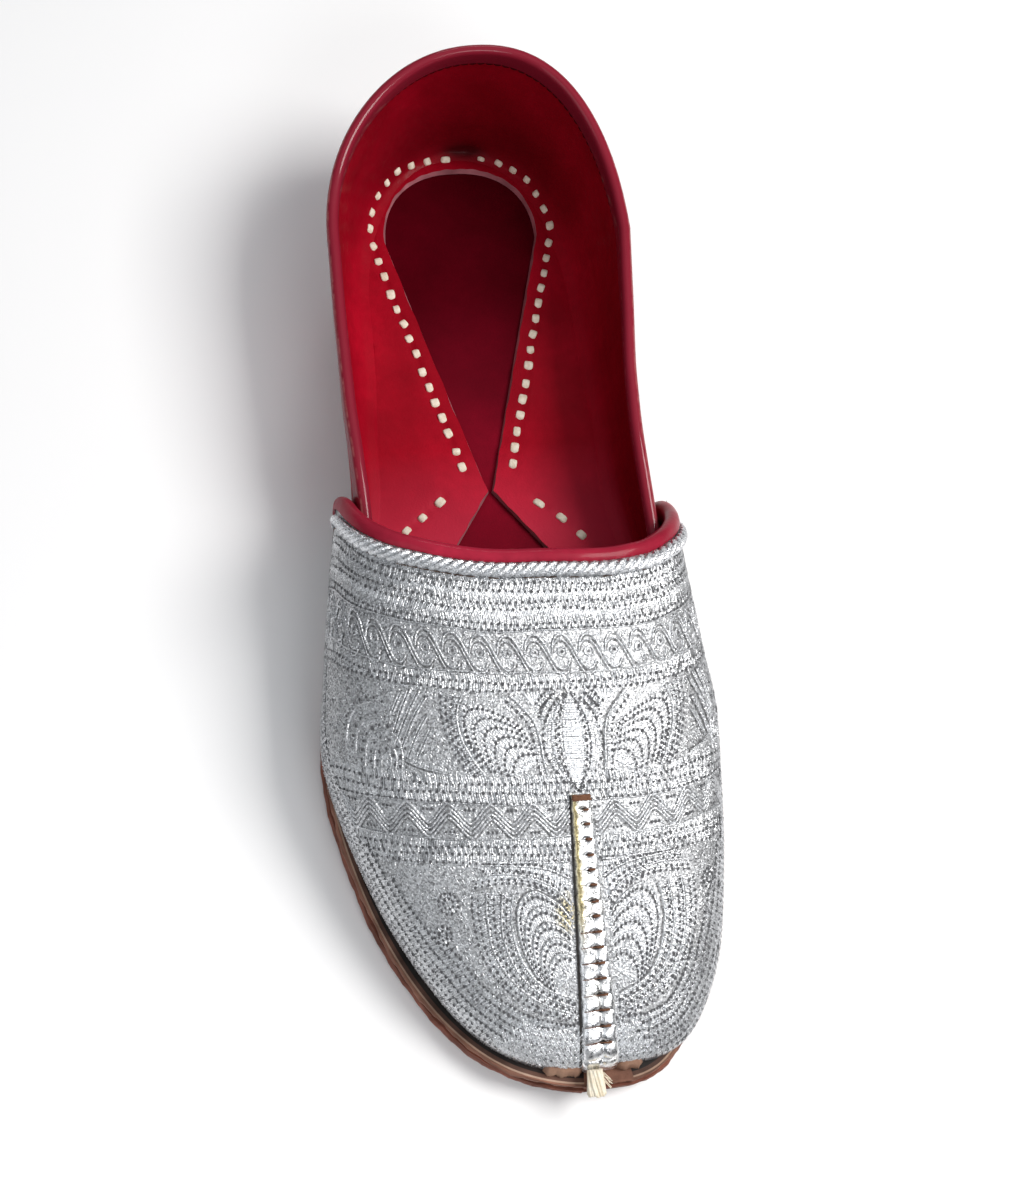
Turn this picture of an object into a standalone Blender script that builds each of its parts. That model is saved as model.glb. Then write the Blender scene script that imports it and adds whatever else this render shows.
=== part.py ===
"""Jutti: a flat leather slipper with an embroidered vamp, modelled as a right shoe.

The shoe is worked out from the toe to the heel. A station is the distance from the sole's front edge along
+Y, in metres; +X is the inner side of the foot and +Z is up. The finished parts hang on one empty, which is
placed so that the middle of the shoe's underside is at the world origin.
"""

from bisect import bisect_right
from collections import namedtuple
from math import asin, copysign, cos, pi, radians, sin

import bmesh
import bpy
from mathutils import Vector

# Driving dimensions
SHOE_LENGTH = 0.2500
BALL_STATION = 0.0800
HEEL_STATION = 0.2000
TOE_SPRING = 0.0030
TOE_SPRING_LENGTH = 0.0450
ARCH_LIFT = 0.0010
ARCH_STATIONS = (0.1050, 0.1850)

# Every two pieces that meet are this far apart
GAP = 0.0003
THROAT_GAP = 0.00045

# Thickness of the leathers
OUTSOLE_THICKNESS = 0.0036
MIDSOLE_THICKNESS = 0.0021
INSOLE_THICKNESS = 0.0017
VAMP_THICKNESS = 0.0015
QUARTER_THICKNESS = 0.0012
BINDING_THICKNESS = 0.0006
STRIP_THICKNESS = 0.0010

# Height of each layer's underside above the outsole's underside
MIDSOLE_LEVEL = OUTSOLE_THICKNESS + GAP
INSOLE_LEVEL = MIDSOLE_LEVEL + MIDSOLE_THICKNESS + GAP
FLANGE_LEVEL = INSOLE_LEVEL + INSOLE_THICKNESS + GAP

# How far each layer's edge lies inside the outsole's edge, and how much further the insole's does at the toe
MIDSOLE_INSET = 0.0006
INSOLE_INSET = 0.0066
INSOLE_TOE_INSET = 0.0060
INSOLE_TOE_LENGTH = 0.0800

# Round of the toe seen from above, along and across: 2 and 2 would be a quarter ellipse
SOLE_TOE_POWERS = (1.75, 2.4)
VAMP_TOE_POWERS = (1.25, 3.1)

# Round of the heel seen from above
HEEL_POWER = 2.1

# Vamp: where its toe stands, the height of its toe wall, its rise to the instep and the turn at its foot
VAMP_TOE_STATION = 0.0048
TOE_BLUNT = 0.0003
VAMP_TOE_WALL = 0.0030
VAMP_TOE_ROUND = 0.0008
INSTEP_STATION = 0.1140
INSTEP_RISE = 0.0433
RISE_POWER = 0.67
TUCK_DEPTH = 0.0034
TUCK_LENGTH = 0.0200
TUCK_LEAST = 0.001
TUCK_ANGLE = radians(42)
REAR_SKIVE = 0.3
WIDEST_SHARE = 0.20
SIDE_ANGLE = radians(90)

# Bindings, cord, strip and tie
THROAT_LEG_OUT = 0.0014
THROAT_LEG_IN = 0.0030
TOPLINE_LEG = 0.0040
BINDING_END_ANGLE = radians(112)
TOPLINE_END_STATION = 0.1150
CORD_RADIUS = 0.0015
STRIP_STATIONS = (0.0062, 0.0600)
STRIP_TOE_HALF_WIDTH = 0.0040
STRIP_TOP_HALF_WIDTH = 0.0022
STRIP_TOE_X = 0.0004
STRIP_TOP_X = 0.0011
TIE_RADIUS = 0.0019
TIE_X = -0.0012
TIE_FRONT_STATION = -0.0024

# Quarter: heel height, the turn at its foot and the cut of its flange
HEEL_HEIGHT = 0.0515
HEEL_RISE_SHARE = 0.45
TOPLINE_REAR = 0.2475
LOW_REAR = 0.2506
TOPLINE_SWING = 0.0042
LOW_SWING = 0.0020
TOPLINE_POWER = 2.18
LOW_POWER = 2.0
BULGE = 0.0012
VEE_STATION = 0.1455
VEE_X = -0.0042
VEE_HALF_GAP = 0.0004
VEE_FRONT_SLOPE = 0.70
DROP_STATION = 0.2200
DROP_REAR = 0.2415
DROP_X = -0.0016
DROP_HALF_WIDTH = 0.0200

# Centre lines of the sole and the vamp from above: they bow outward at the ball and the toe swings inward
CentreRow = namedtuple("CentreRow", "station sole vamp")
CENTRE_LINES = [
    CentreRow(0.0000, 0.0025, 0.0040),
    CentreRow(0.0060, -0.0003, 0.0026),
    CentreRow(0.0140, -0.0019, 0.0005),
    CentreRow(0.0280, -0.0035, -0.0016),
    CentreRow(0.0480, -0.0050, -0.0042),
    CentreRow(0.0800, -0.0064, -0.0064),
    CentreRow(0.1250, -0.0049, -0.0049),
    CentreRow(0.1500, -0.0037, -0.0037),
    CentreRow(0.2000, -0.0019, -0.0019),
    CentreRow(0.2500, -0.0012, -0.0012),
]

# Half widths behind the ball; ahead of it the toe's round takes over
WidthRow = namedtuple("WidthRow", "station sole upper fullness")
WIDTHS = [
    WidthRow(0.0650, 0.0458, 0.0456, 2.3),
    WidthRow(0.0800, 0.0465, 0.0464, 2.4),
    WidthRow(0.1000, 0.0440, 0.0443, 2.6),
    WidthRow(0.1250, 0.0382, 0.0412, 2.8),
    WidthRow(0.1500, 0.0332, 0.0374, 2.8),
    WidthRow(0.1750, 0.0310, 0.0342, 2.8),
    WidthRow(0.2000, 0.0310, 0.0335, 2.8),
]

# Rear edge of the vamp, round the throat from the outer side to the inner side
ThroatRow = namedtuple("ThroatRow", "station edge")
THROAT_EDGE = [
    ThroatRow(-132, 0.1470),
    ThroatRow(-90, 0.1400),
    ThroatRow(-72, 0.1343),
    ThroatRow(-60, 0.1288),
    ThroatRow(-48, 0.1236),
    ThroatRow(-30, 0.1176),
    ThroatRow(0, 0.1112),
    ThroatRow(15, 0.1104),
    ThroatRow(32, 0.1121),
    ThroatRow(48, 0.1164),
    ThroatRow(60, 0.1205),
    ThroatRow(72, 0.1252),
    ThroatRow(90, 0.1335),
    ThroatRow(132, 0.1450),
]

# Quarter ahead of the heel: its top edge and the foot of its wall on the outer and the inner side
QuarterRow = namedtuple("QuarterRow", "station top_outer top_inner top_level low_outer low_inner")
QUARTER = [
    QuarterRow(0.1080, -0.0388, 0.0303, 0.0285, -0.0436, 0.0338),
    QuarterRow(0.1310, -0.0383, 0.0299, 0.0322, -0.0403, 0.0306),
    QuarterRow(0.1460, -0.0387, 0.0296, 0.0348, -0.0376, 0.0294),
    QuarterRow(0.1600, -0.0392, 0.0302, 0.0364, -0.0366, 0.0301),
    QuarterRow(0.1800, -0.0391, 0.0324, 0.0382, -0.0347, 0.0300),
    QuarterRow(0.2000, -0.0386, 0.0346, 0.0402, -0.0338, 0.0302),
]

# Wall of the quarter from its top to its flange: share of the height, and how far it turns in at the foot
ProfileRow = namedtuple("ProfileRow", "height turn_in")
QUARTER_PROFILE = [
    ProfileRow(1.00, 0.0000),
    ProfileRow(0.72, 0.0000),
    ProfileRow(0.45, 0.0000),
    ProfileRow(0.24, 0.0002),
    ProfileRow(0.12, 0.0011),
    ProfileRow(0.04, 0.0030),
    ProfileRow(0.00, 0.0056),
]

# Colours of the materials: red, green, blue, then roughness and metallic
Finish = namedtuple("Finish", "red green blue roughness metallic")
FINISHES = {
    "sole_leather": Finish(0.16, 0.07, 0.035, 0.75, 0.0),
    "layer_leather": Finish(0.42, 0.22, 0.12, 0.80, 0.0),
    "bed_leather": Finish(0.17, 0.008, 0.022, 0.55, 0.0),
    "silver_thread": Finish(0.66, 0.68, 0.70, 0.35, 0.85),
    "red_leather": Finish(0.50, 0.010, 0.025, 0.42, 0.0),
    "binding_leather": Finish(0.40, 0.020, 0.055, 0.35, 0.0),
    "silver_cord": Finish(0.72, 0.74, 0.76, 0.32, 0.85),
    "silver_leather": Finish(0.62, 0.63, 0.65, 0.30, 0.80),
    "white_cotton": Finish(0.80, 0.76, 0.68, 0.90, 0.0),
}

# Number of mesh steps along and across the pieces
SOLE_STEPS = 44
SOLE_COLUMNS = 5
VAMP_ROWS = 34
VAMP_COLUMNS = 40
VAMP_ROW_POWER = 1.7
QUARTER_SIDE_STEPS = 8
QUARTER_HEEL_STEPS = 22
FLANGE_STEPS = 3
CROWN_STEPS = 4
LEG_STEPS = 2
STRIP_STEPS = 24
DIFFERENCE = 0.0002


def smooth(rows, column, station):
    """Read a table's column at a station, on a curve through its rows that never overshoots them."""
    stations = [row.station for row in rows]
    values = [getattr(row, column) for row in rows]
    last = len(rows) - 1
    if station <= stations[0]:
        return values[0]
    if station >= stations[last]:
        return values[last]
    rises = []
    for i in range(last):
        rises.append((values[i + 1] - values[i]) / (stations[i + 1] - stations[i]))

    def slope(i):
        if i == 0:
            return rises[0]
        if i == last:
            return rises[last - 1]
        before, after = rises[i - 1], rises[i]
        if before * after <= 0:
            return 0.0
        return 2 * before * after / (before + after)

    i = bisect_right(stations, station) - 1
    span = stations[i + 1] - stations[i]
    u = (station - stations[i]) / span
    start = values[i] * (1 + 2 * u) * (1 - u) ** 2 + slope(i) * span * u * (1 - u) ** 2
    end = values[i + 1] * (3 - 2 * u) * u * u + slope(i + 1) * span * u * u * (u - 1)
    return start + end


def sole_centre(station):
    """Middle of the sole's outline at a station."""
    return smooth(CENTRE_LINES, "sole", station)


def vamp_centre(station):
    """Middle of the vamp's outline at a station."""
    return smooth(CENTRE_LINES, "vamp", station)


def toe_round(share, powers):
    """Share of the ball's half width, from 0 at the toe's tip to 1 at the ball."""
    length_power, width_power = powers
    ahead = 1 - min(max(share, 0.0), 1.0)
    return (1 - ahead ** length_power) ** (1 / width_power)


def sole_half(station):
    """Half width of the outsole at a station."""
    ball = smooth(WIDTHS, "sole", BALL_STATION)
    if station < BALL_STATION:
        return ball * toe_round(station / BALL_STATION, SOLE_TOE_POWERS)
    if station > HEEL_STATION:
        share = (station - HEEL_STATION) / (SHOE_LENGTH - HEEL_STATION)
        heel = smooth(WIDTHS, "sole", HEEL_STATION)
        return heel * max(1 - share ** HEEL_POWER, 0.0) ** (1 / HEEL_POWER)
    return smooth(WIDTHS, "sole", station)


def floor_lift(station):
    """Height of the outsole's underside: toe spring, a flat forefoot, a low arch and a flat heel."""
    if station < TOE_SPRING_LENGTH:
        return TOE_SPRING * (1 - max(station, 0.0) / TOE_SPRING_LENGTH) ** 2
    front, rear = ARCH_STATIONS
    if front < station < rear:
        return ARCH_LIFT * sin(pi * (station - front) / (rear - front)) ** 2
    return 0.0


def upper_half(station):
    """Half width of the vamp where it is widest."""
    if station < BALL_STATION:
        reach = BALL_STATION - VAMP_TOE_STATION + TOE_BLUNT
        share = (station - VAMP_TOE_STATION + TOE_BLUNT) / reach
        return smooth(WIDTHS, "upper", BALL_STATION) * toe_round(share, VAMP_TOE_POWERS)
    return smooth(WIDTHS, "upper", station)


def vamp_height(station):
    """Height of the vamp's ridge above its foot."""
    behind = max(station - VAMP_TOE_STATION, 0.0)
    wall = VAMP_TOE_WALL * min(behind / VAMP_TOE_ROUND, 1.0) ** 0.5
    share = behind / (INSTEP_STATION - VAMP_TOE_STATION)
    return wall + (INSTEP_RISE - VAMP_TOE_WALL) * share ** RISE_POWER


def tuck_share(station):
    """How much of the turn at the vamp's foot there is at a station: none at the toe's tip."""
    return min(max((station - VAMP_TOE_STATION) / TUCK_LENGTH, TUCK_LEAST), 1.0)


def vamp_point(station, angle, depth=0.0):
    """Point on the vamp, at a depth under its outer face.

    Angle 0 is on the ridge, 90 degrees is where the vamp is widest, and past that its foot tucks in.
    """
    share = (station - VAMP_TOE_STATION) / (INSTEP_STATION - VAMP_TOE_STATION)
    measured = station - depth * max(1 - share, 0.0)
    foot = floor_lift(measured) + INSOLE_LEVEL
    height = max(vamp_height(measured) - depth, 0.0)
    half = upper_half(measured) - depth
    tucked = tuck_share(measured)
    widest = foot + WIDEST_SHARE * tucked * height
    power = 2 / smooth(WIDTHS, "fullness", station)
    side = copysign(1.0, angle)
    turn = abs(angle)
    if turn <= SIDE_ANGLE:
        across = half * sin(turn) ** power
        level = widest + (foot + height - widest) * max(cos(turn), 0.0) ** power
    else:
        below = (turn - SIDE_ANGLE) / (TUCK_ANGLE * tucked)
        across = half - TUCK_DEPTH * tucked * (1 - cos(below * pi / 2))
        level = widest - (widest - foot) * sin(below * pi / 2)
    return Vector((vamp_centre(station) + side * across, station, level))


def vamp_slopes(station, angle):
    """How the vamp's outer face runs with the station and with the angle."""
    along = vamp_point(station + DIFFERENCE, angle) - vamp_point(station - DIFFERENCE, angle)
    step = DIFFERENCE / BALL_STATION
    around = vamp_point(station, angle + step) - vamp_point(station, angle - step)
    return along / (2 * DIFFERENCE), around / (2 * step)


def vamp_normal(station, angle):
    """Outward direction of the vamp's face."""
    along, around = vamp_slopes(station, angle)
    return around.cross(along).normalized()


def ridge_angle(station, x):
    """Angle at which the vamp's face passes over a given x, near the ridge."""
    power = smooth(WIDTHS, "fullness", station) / 2
    share = (x - vamp_centre(station)) / upper_half(station)
    return copysign(asin(abs(share) ** power), share)


def throat_station(angle):
    """Station of the vamp's rear edge at an angle."""
    return smooth(THROAT_EDGE, "edge", angle * 180 / pi)


def flange_half(station):
    """Half width of the opening between the two halves of the flange: a vee ahead and a drop behind."""
    if station < VEE_STATION:
        return VEE_HALF_GAP + VEE_FRONT_SLOPE * (VEE_STATION - station)
    if station <= DROP_STATION:
        share = (station - VEE_STATION) / (DROP_STATION - VEE_STATION)
        return VEE_HALF_GAP + (DROP_HALF_WIDTH - VEE_HALF_GAP) * share
    share = min((station - DROP_STATION) / (DROP_REAR - DROP_STATION), 1.0)
    return DROP_HALF_WIDTH * (1 - share * share) ** 0.5


def flange_centre(station):
    """Middle of that opening."""
    share = min(max((station - VEE_STATION) / (DROP_STATION - VEE_STATION), 0.0), 1.0)
    return VEE_X + (DROP_X - VEE_X) * share


def quarter_path():
    """Places along the quarter: its side, its station ahead of the heel and its angle round the heel."""
    sides = []
    for front, rear in ((QUARTER[0].station, VEE_STATION), (VEE_STATION, HEEL_STATION)):
        for i in range(QUARTER_SIDE_STEPS):
            sides.append(front + (rear - front) * i / QUARTER_SIDE_STEPS)
    places = [(-1, station, 0.0) for station in sides]
    for i in range(QUARTER_HEEL_STEPS + 1):
        angle = pi * i / QUARTER_HEEL_STEPS
        places.append((-1 if angle < pi / 2 else 1, HEEL_STATION, angle))
    places += [(1, station, 0.0) for station in reversed(sides)]
    return places


def quarter_rail(place, outer, inner, rear, swing, power):
    """Point in plan on one rail of the quarter, along the side or round the heel, which swings inward."""
    side, station, angle = place
    left = smooth(QUARTER, outer, station)
    right = smooth(QUARTER, inner, station)
    middle, half = (left + right) / 2, (right - left) / 2
    if angle == 0.0:
        return Vector((middle + side * half, station, 0.0))
    turn = copysign(abs(cos(angle)) ** (2 / power), cos(angle))
    across = middle - half * turn + swing * sin(angle) ** 2
    behind = (rear - HEEL_STATION) * max(sin(angle), 0.0) ** (2 / power)
    return Vector((across, HEEL_STATION + behind, 0.0))


def flange_edge(place):
    """Point in plan on the cut edge of the flange."""
    side, station, angle = place
    if angle != 0.0:
        station = HEEL_STATION + (DROP_REAR - HEEL_STATION) * sin(angle)
    return Vector((flange_centre(station) + side * flange_half(station), station, 0.0))


def topline_level(place):
    """Height of the quarter's top edge, rising round the heel."""
    level = smooth(QUARTER, "top_level", place[1])
    round_share = sin(place[2])
    share = HEEL_RISE_SHARE * round_share + (1 - HEEL_RISE_SHARE) * round_share ** 2
    return level + (HEEL_HEIGHT - level) * share


def quarter_profile(place):
    """Outer face of the quarter at one place, from its top down and in along the flange."""
    top = quarter_rail(place, "top_outer", "top_inner", TOPLINE_REAR, TOPLINE_SWING, TOPLINE_POWER)
    low = quarter_rail(place, "low_outer", "low_inner", LOW_REAR, LOW_SWING, LOW_POWER)
    edge = flange_edge(place)
    inward = (edge - low).normalized()
    foot = floor_lift(low.y) + FLANGE_LEVEL
    rise = topline_level(place) - foot
    points = []
    for row in QUARTER_PROFILE:
        bulge = BULGE * sin(pi * row.height)
        point = low.lerp(top, row.height) + inward * (row.turn_in - bulge)
        points.append(Vector((point.x, point.y, foot + rise * row.height)))
    last = points[-1]
    for i in range(1, FLANGE_STEPS + 1):
        point = last.lerp(edge, i / FLANGE_STEPS)
        points.append(Vector((point.x, point.y, floor_lift(point.y) + FLANGE_LEVEL)))
    return points


def material(name):
    """A leather, thread or cotton of the shoe."""
    finish = FINISHES[name]
    made = bpy.data.materials.new(name)
    made.use_nodes = True
    shader = made.node_tree.nodes["Principled BSDF"]
    shader.inputs["Base Color"].default_value = (finish.red, finish.green, finish.blue, 1.0)
    shader.inputs["Roughness"].default_value = finish.roughness
    shader.inputs["Metallic"].default_value = finish.metallic
    return made


def add_part(name, data, finish, parts, root):
    """Put a mesh or a curve in the parts' collection, with its material, under the shoe's empty."""
    data.materials.append(material(finish))
    part = bpy.data.objects.new(name, data)
    parts.objects.link(part)
    part.parent = root
    return part


def open_surface(name, rows):
    """Mesh through rows of points, one quad between each four neighbours."""
    mesh = bpy.data.meshes.new(name)
    shell = bmesh.new()
    lines = [[shell.verts.new(point) for point in row] for row in rows]
    for line, following in zip(lines, lines[1:]):
        for i in range(len(line) - 1):
            shell.faces.new((line[i], line[i + 1], following[i + 1], following[i]))
    shell.to_mesh(mesh)
    shell.free()
    mesh.shade_smooth()
    return mesh


def hollow_wall(name, outer, inner):
    """Closed wall between an outer and an inner surface of like rows, joined round their edges."""
    mesh = bpy.data.meshes.new(name)
    wall = bmesh.new()
    faces = [[[wall.verts.new(point) for point in row] for row in rows] for rows in (outer, inner)]
    for rows, order in zip(faces, (1, -1)):
        for line, following in zip(rows, rows[1:]):
            for i in range(len(line) - 1):
                wall.faces.new((line[i], line[i + 1], following[i + 1], following[i])[::order])
    rims = []
    for rows in faces:
        left = [row[0] for row in rows]
        right = [row[-1] for row in rows]
        rims.append(rows[0] + right[1:] + rows[-1][-2::-1] + left[-2:0:-1])
    count = len(rims[0])
    for i in range(count):
        j = (i + 1) % count
        wall.faces.new((rims[0][j], rims[0][i], rims[1][i], rims[1][j]))
    wall.to_mesh(mesh)
    wall.free()
    mesh.shade_smooth()
    return mesh


def lofted_body(name, sections):
    """Closed mesh through closed sections of like count, with both ends capped."""
    mesh = bpy.data.meshes.new(name)
    body = bmesh.new()
    rings = [[body.verts.new(point) for point in section] for section in sections]
    count = len(rings[0])
    for ring, following in zip(rings, rings[1:]):
        for i in range(count):
            j = (i + 1) % count
            body.faces.new((ring[i], ring[j], following[j], following[i]))
    body.faces.new(rings[0][::-1])
    body.faces.new(rings[-1])
    bmesh.ops.recalc_face_normals(body, faces=body.faces)
    body.to_mesh(mesh)
    body.free()
    mesh.shade_smooth()
    return mesh


def thicken(part, thickness, towards):
    """Give an open surface its leather's thickness: 1 grows along its normals, -1 against them."""
    shell = part.modifiers.new("thickness", "SOLIDIFY")
    shell.thickness = thickness
    shell.offset = towards
    shell.use_even_offset = True
    shell.use_quality_normals = True


def sole_layer(name, inset, toe_inset, level, thickness, finish, parts, root):
    """A layer of the sole: the outsole's outline, drawn in by an inset and a further one at the toe."""
    rows = []
    for i in range(SOLE_STEPS + 1):
        swing = (1 - cos(pi * i / SOLE_STEPS)) / 2
        blunt = TOE_BLUNT + swing * (SHOE_LENGTH - 2 * TOE_BLUNT)
        ahead = max(1 - blunt / INSOLE_TOE_LENGTH, 0.0)
        left, right = inset_edges(blunt, inset + toe_inset * ahead)
        row = []
        for j in range(SOLE_COLUMNS + 1):
            point = left.lerp(right, j / SOLE_COLUMNS)
            row.append(Vector((point.x, point.y, floor_lift(point.y) + level)))
        rows.append(row)
    layer = add_part(name, open_surface(name, rows), finish, parts, root)
    thicken(layer, thickness, 1)


def inset_edges(station, inset):
    """The outline's two edge points at a station, moved in at right angles to the outline."""
    edges = []
    for side in (-1, 1):
        here = outline_point(station, side)
        ahead = outline_point(max(station - DIFFERENCE, 0.0), side)
        behind = outline_point(min(station + DIFFERENCE, SHOE_LENGTH), side)
        run = (behind - ahead).normalized()
        edges.append(here + Vector((-side * run.y, side * run.x, 0.0)) * inset)
    return edges


def outline_point(station, side):
    """Point of the outsole's outline on one side."""
    return Vector((sole_centre(station) + side * sole_half(station), station, 0.0))


def vamp_angles():
    """Angles of the vamp's columns, from the outer side's foot over the ridge to the inner side's foot."""
    span = SIDE_ANGLE + TUCK_ANGLE
    return [-span + 2 * span * j / VAMP_COLUMNS for j in range(VAMP_COLUMNS + 1)]


def vamp_rows(depth):
    """Rows of the vamp at a depth under its face, from its toe to its rear edge."""
    toe_station = VAMP_TOE_STATION + depth
    rows = []
    for i in range(VAMP_ROWS + 1):
        share = (i / VAMP_ROWS) ** VAMP_ROW_POWER
        row = []
        for angle in vamp_angles():
            station = toe_station + (throat_station(angle) - REAR_SKIVE * depth - toe_station) * share
            tucked = TUCK_ANGLE * tuck_share(station - depth * (1 - share))
            spread = (SIDE_ANGLE + tucked) / (SIDE_ANGLE + TUCK_ANGLE)
            row.append(vamp_point(station, angle * spread, depth))
        rows.append(row)
    return rows


def build_vamp(parts, root):
    """The hollow front of the upper."""
    wall = hollow_wall("vamp", vamp_rows(0.0), vamp_rows(VAMP_THICKNESS))
    add_part("vamp", wall, "silver_thread", parts, root)


def build_quarter(parts, root):
    """The wall round the heel with its flange turned in over the insole."""
    profiles = [quarter_profile(place) for place in quarter_path()]
    quarter = add_part("quarter", open_surface("quarter", profiles), "red_leather", parts, root)
    thicken(quarter, QUARTER_THICKNESS, 1)


def crown(middle, outward, beyond, radius):
    """Round of a fold over an edge, from its outer side to its inner side."""
    points = []
    for i in range(CROWN_STEPS + 1):
        angle = pi * i / CROWN_STEPS
        points.append(middle + outward * (radius * cos(angle)) + beyond * (radius * sin(angle)))
    return points


def topline_section(middle, outward, beyond):
    """Leather folded over the quarter's top edge: a round crown and two straight legs."""
    inside = QUARTER_THICKNESS / 2 + GAP
    outside = inside + BINDING_THICKNESS
    legs = [(-outside, -TOPLINE_LEG), (-inside, -TOPLINE_LEG), (-inside, GAP)]
    legs += [(inside, GAP), (inside, -TOPLINE_LEG), (outside, -TOPLINE_LEG)]
    return crown(middle, outward, beyond, outside) + [middle + outward * a + beyond * b for a, b in legs]


def throat_walk(angle, distance):
    """Station and angle of the place on the vamp that lies a distance ahead of its rear edge."""
    station = throat_station(angle)
    _, _, beyond = throat_frame(angle)
    along, around = vamp_slopes(station, angle)
    mixed = along.dot(around)
    area = along.dot(along) * around.dot(around) - mixed * mixed
    back, turn = beyond.dot(along), beyond.dot(around)
    station -= distance * (back * around.dot(around) - turn * mixed) / area
    return station, angle - distance * (turn * along.dot(along) - back * mixed) / area


def throat_section(angle):
    """Leather folded over the vamp's rear edge: a round crown and two legs that follow the vamp."""
    middle, outward, beyond = throat_frame(angle)
    inside = VAMP_THICKNESS / 2 + THROAT_GAP
    outside = inside + BINDING_THICKNESS
    fold = crown(middle, outward, beyond, outside)
    legs = []
    for leg, face in ((THROAT_LEG_IN, -1), (THROAT_LEG_OUT, 1)):
        outer_face, inner_face = [], []
        for i in range(1, LEG_STEPS + 1):
            station, turn = throat_walk(angle, leg * i / LEG_STEPS)
            normal = vamp_normal(station, turn)
            point = vamp_point(station, turn) - normal * (VAMP_THICKNESS / 2)
            outer_face.append(point + normal * (face * outside))
            inner_face.append(point + normal * (face * inside))
        legs.append((outer_face, inner_face))
    (far_out, far_in), (near_out, near_in) = legs
    lining = [middle + outward * (face * inside) + beyond * THROAT_GAP for face in (-1, 1)]
    return fold + far_out + far_in[::-1] + lining + near_in + near_out[::-1]


def throat_frame(angle):
    """Middle of the vamp's rear edge at an angle, with the outward and the rearward directions there."""
    step = DIFFERENCE / BALL_STATION
    station = throat_station(angle)
    outward = vamp_normal(station, angle)
    ahead = vamp_point(throat_station(angle - step), angle - step)
    behind = vamp_point(throat_station(angle + step), angle + step)
    run = (behind - ahead).normalized()
    beyond = run.cross(outward).normalized()
    if beyond.y < 0:
        beyond.negate()
    return vamp_point(station, angle) - outward * (VAMP_THICKNESS / 2), outward, beyond


def throat_angles():
    """The vamp's columns that the binding and the cord cross."""
    return [angle for angle in vamp_angles() if abs(angle) <= BINDING_END_ANGLE]


def build_throat_binding(parts, root):
    """Red leather folded over the vamp's rear edge."""
    body = lofted_body("throat_binding", [throat_section(angle) for angle in throat_angles()])
    add_part("throat_binding", body, "binding_leather", parts, root)


def build_topline_binding(parts, root):
    """Rolled red leather along the quarter's top edge."""
    sections = []
    for place in quarter_path():
        if place[1] < TOPLINE_END_STATION:
            continue
        profile = quarter_profile(place)
        beyond = (profile[0] - profile[1]).normalized()
        inward = flange_edge(place) - profile[0]
        outward = -(inward - beyond * inward.dot(beyond)).normalized()
        middle = profile[0] - outward * (QUARTER_THICKNESS / 2)
        sections.append(topline_section(middle, outward, beyond))
    body = lofted_body("topline_binding", sections)
    add_part("topline_binding", body, "binding_leather", parts, root)


def tube(name, points, radius, finish, parts, root):
    """Round cord through points."""
    curve = bpy.data.curves.new(name, "CURVE")
    curve.dimensions = "3D"
    curve.bevel_depth = radius
    curve.bevel_resolution = 2
    curve.use_fill_caps = True
    spline = curve.splines.new("POLY")
    spline.points.add(len(points) - 1)
    for place, point in zip(spline.points, points):
        place.co = (*point, 1.0)
    spline.use_smooth = True
    add_part(name, curve, finish, parts, root)


def build_throat_cord(parts, root):
    """Silver cord laid on the vamp against the binding."""
    distance = THROAT_LEG_OUT + GAP + CORD_RADIUS
    points = []
    for angle in throat_angles():
        station, turn = throat_walk(angle, distance)
        points.append(vamp_point(station, turn) + vamp_normal(station, turn) * (CORD_RADIUS + GAP))
    tube("throat_cord", points, CORD_RADIUS, "silver_cord", parts, root)


def build_toe_strip(parts, root):
    """Silver strip over the seam that runs from the toe up the vamp."""
    low, high = STRIP_STATIONS
    rows = []
    for i in range(STRIP_STEPS + 1):
        share = (i / STRIP_STEPS) ** VAMP_ROW_POWER
        station = low + (high - low) * share
        middle = STRIP_TOE_X + (STRIP_TOP_X - STRIP_TOE_X) * share
        half_width = STRIP_TOE_HALF_WIDTH + (STRIP_TOP_HALF_WIDTH - STRIP_TOE_HALF_WIDTH) * share
        row = []
        for side in (-1, 0, 1):
            angle = ridge_angle(station, middle + side * half_width)
            row.append(vamp_point(station, angle) + vamp_normal(station, angle) * GAP)
        rows.append(row)
    strip = add_part("toe_strip", open_surface("toe_strip", rows), "silver_leather", parts, root)
    thicken(strip, STRIP_THICKNESS, 1)


def build_toe_tie(parts, root):
    """Stub of cotton at the toe, lying on the sole's edge in front of the strip."""
    ground = floor_lift(0.0) + INSOLE_LEVEL + TIE_RADIUS
    rear = Vector((TIE_X, VAMP_TOE_STATION - TIE_RADIUS / 2, ground + TIE_RADIUS))
    front = Vector((TIE_X, TIE_FRONT_STATION, ground))
    tube("toe_tie", [rear, front], TIE_RADIUS, "white_cotton", parts, root)


def stand_on_origin(root, parts):
    """Move the empty so that the middle of the shoe's underside is at the origin."""
    bpy.context.view_layer.update()
    scene = bpy.context.evaluated_depsgraph_get()
    points = []
    for part in parts.objects:
        made = part.evaluated_get(scene)
        points += [made.matrix_world @ vertex.co for vertex in made.to_mesh().vertices]
        made.to_mesh_clear()
    low = [min(point[axis] for point in points) for axis in range(3)]
    high = [max(point[axis] for point in points) for axis in range(3)]
    root.location = (-(low[0] + high[0]) / 2, -(low[1] + high[1]) / 2, -low[2])
    bpy.context.view_layer.update()


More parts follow.
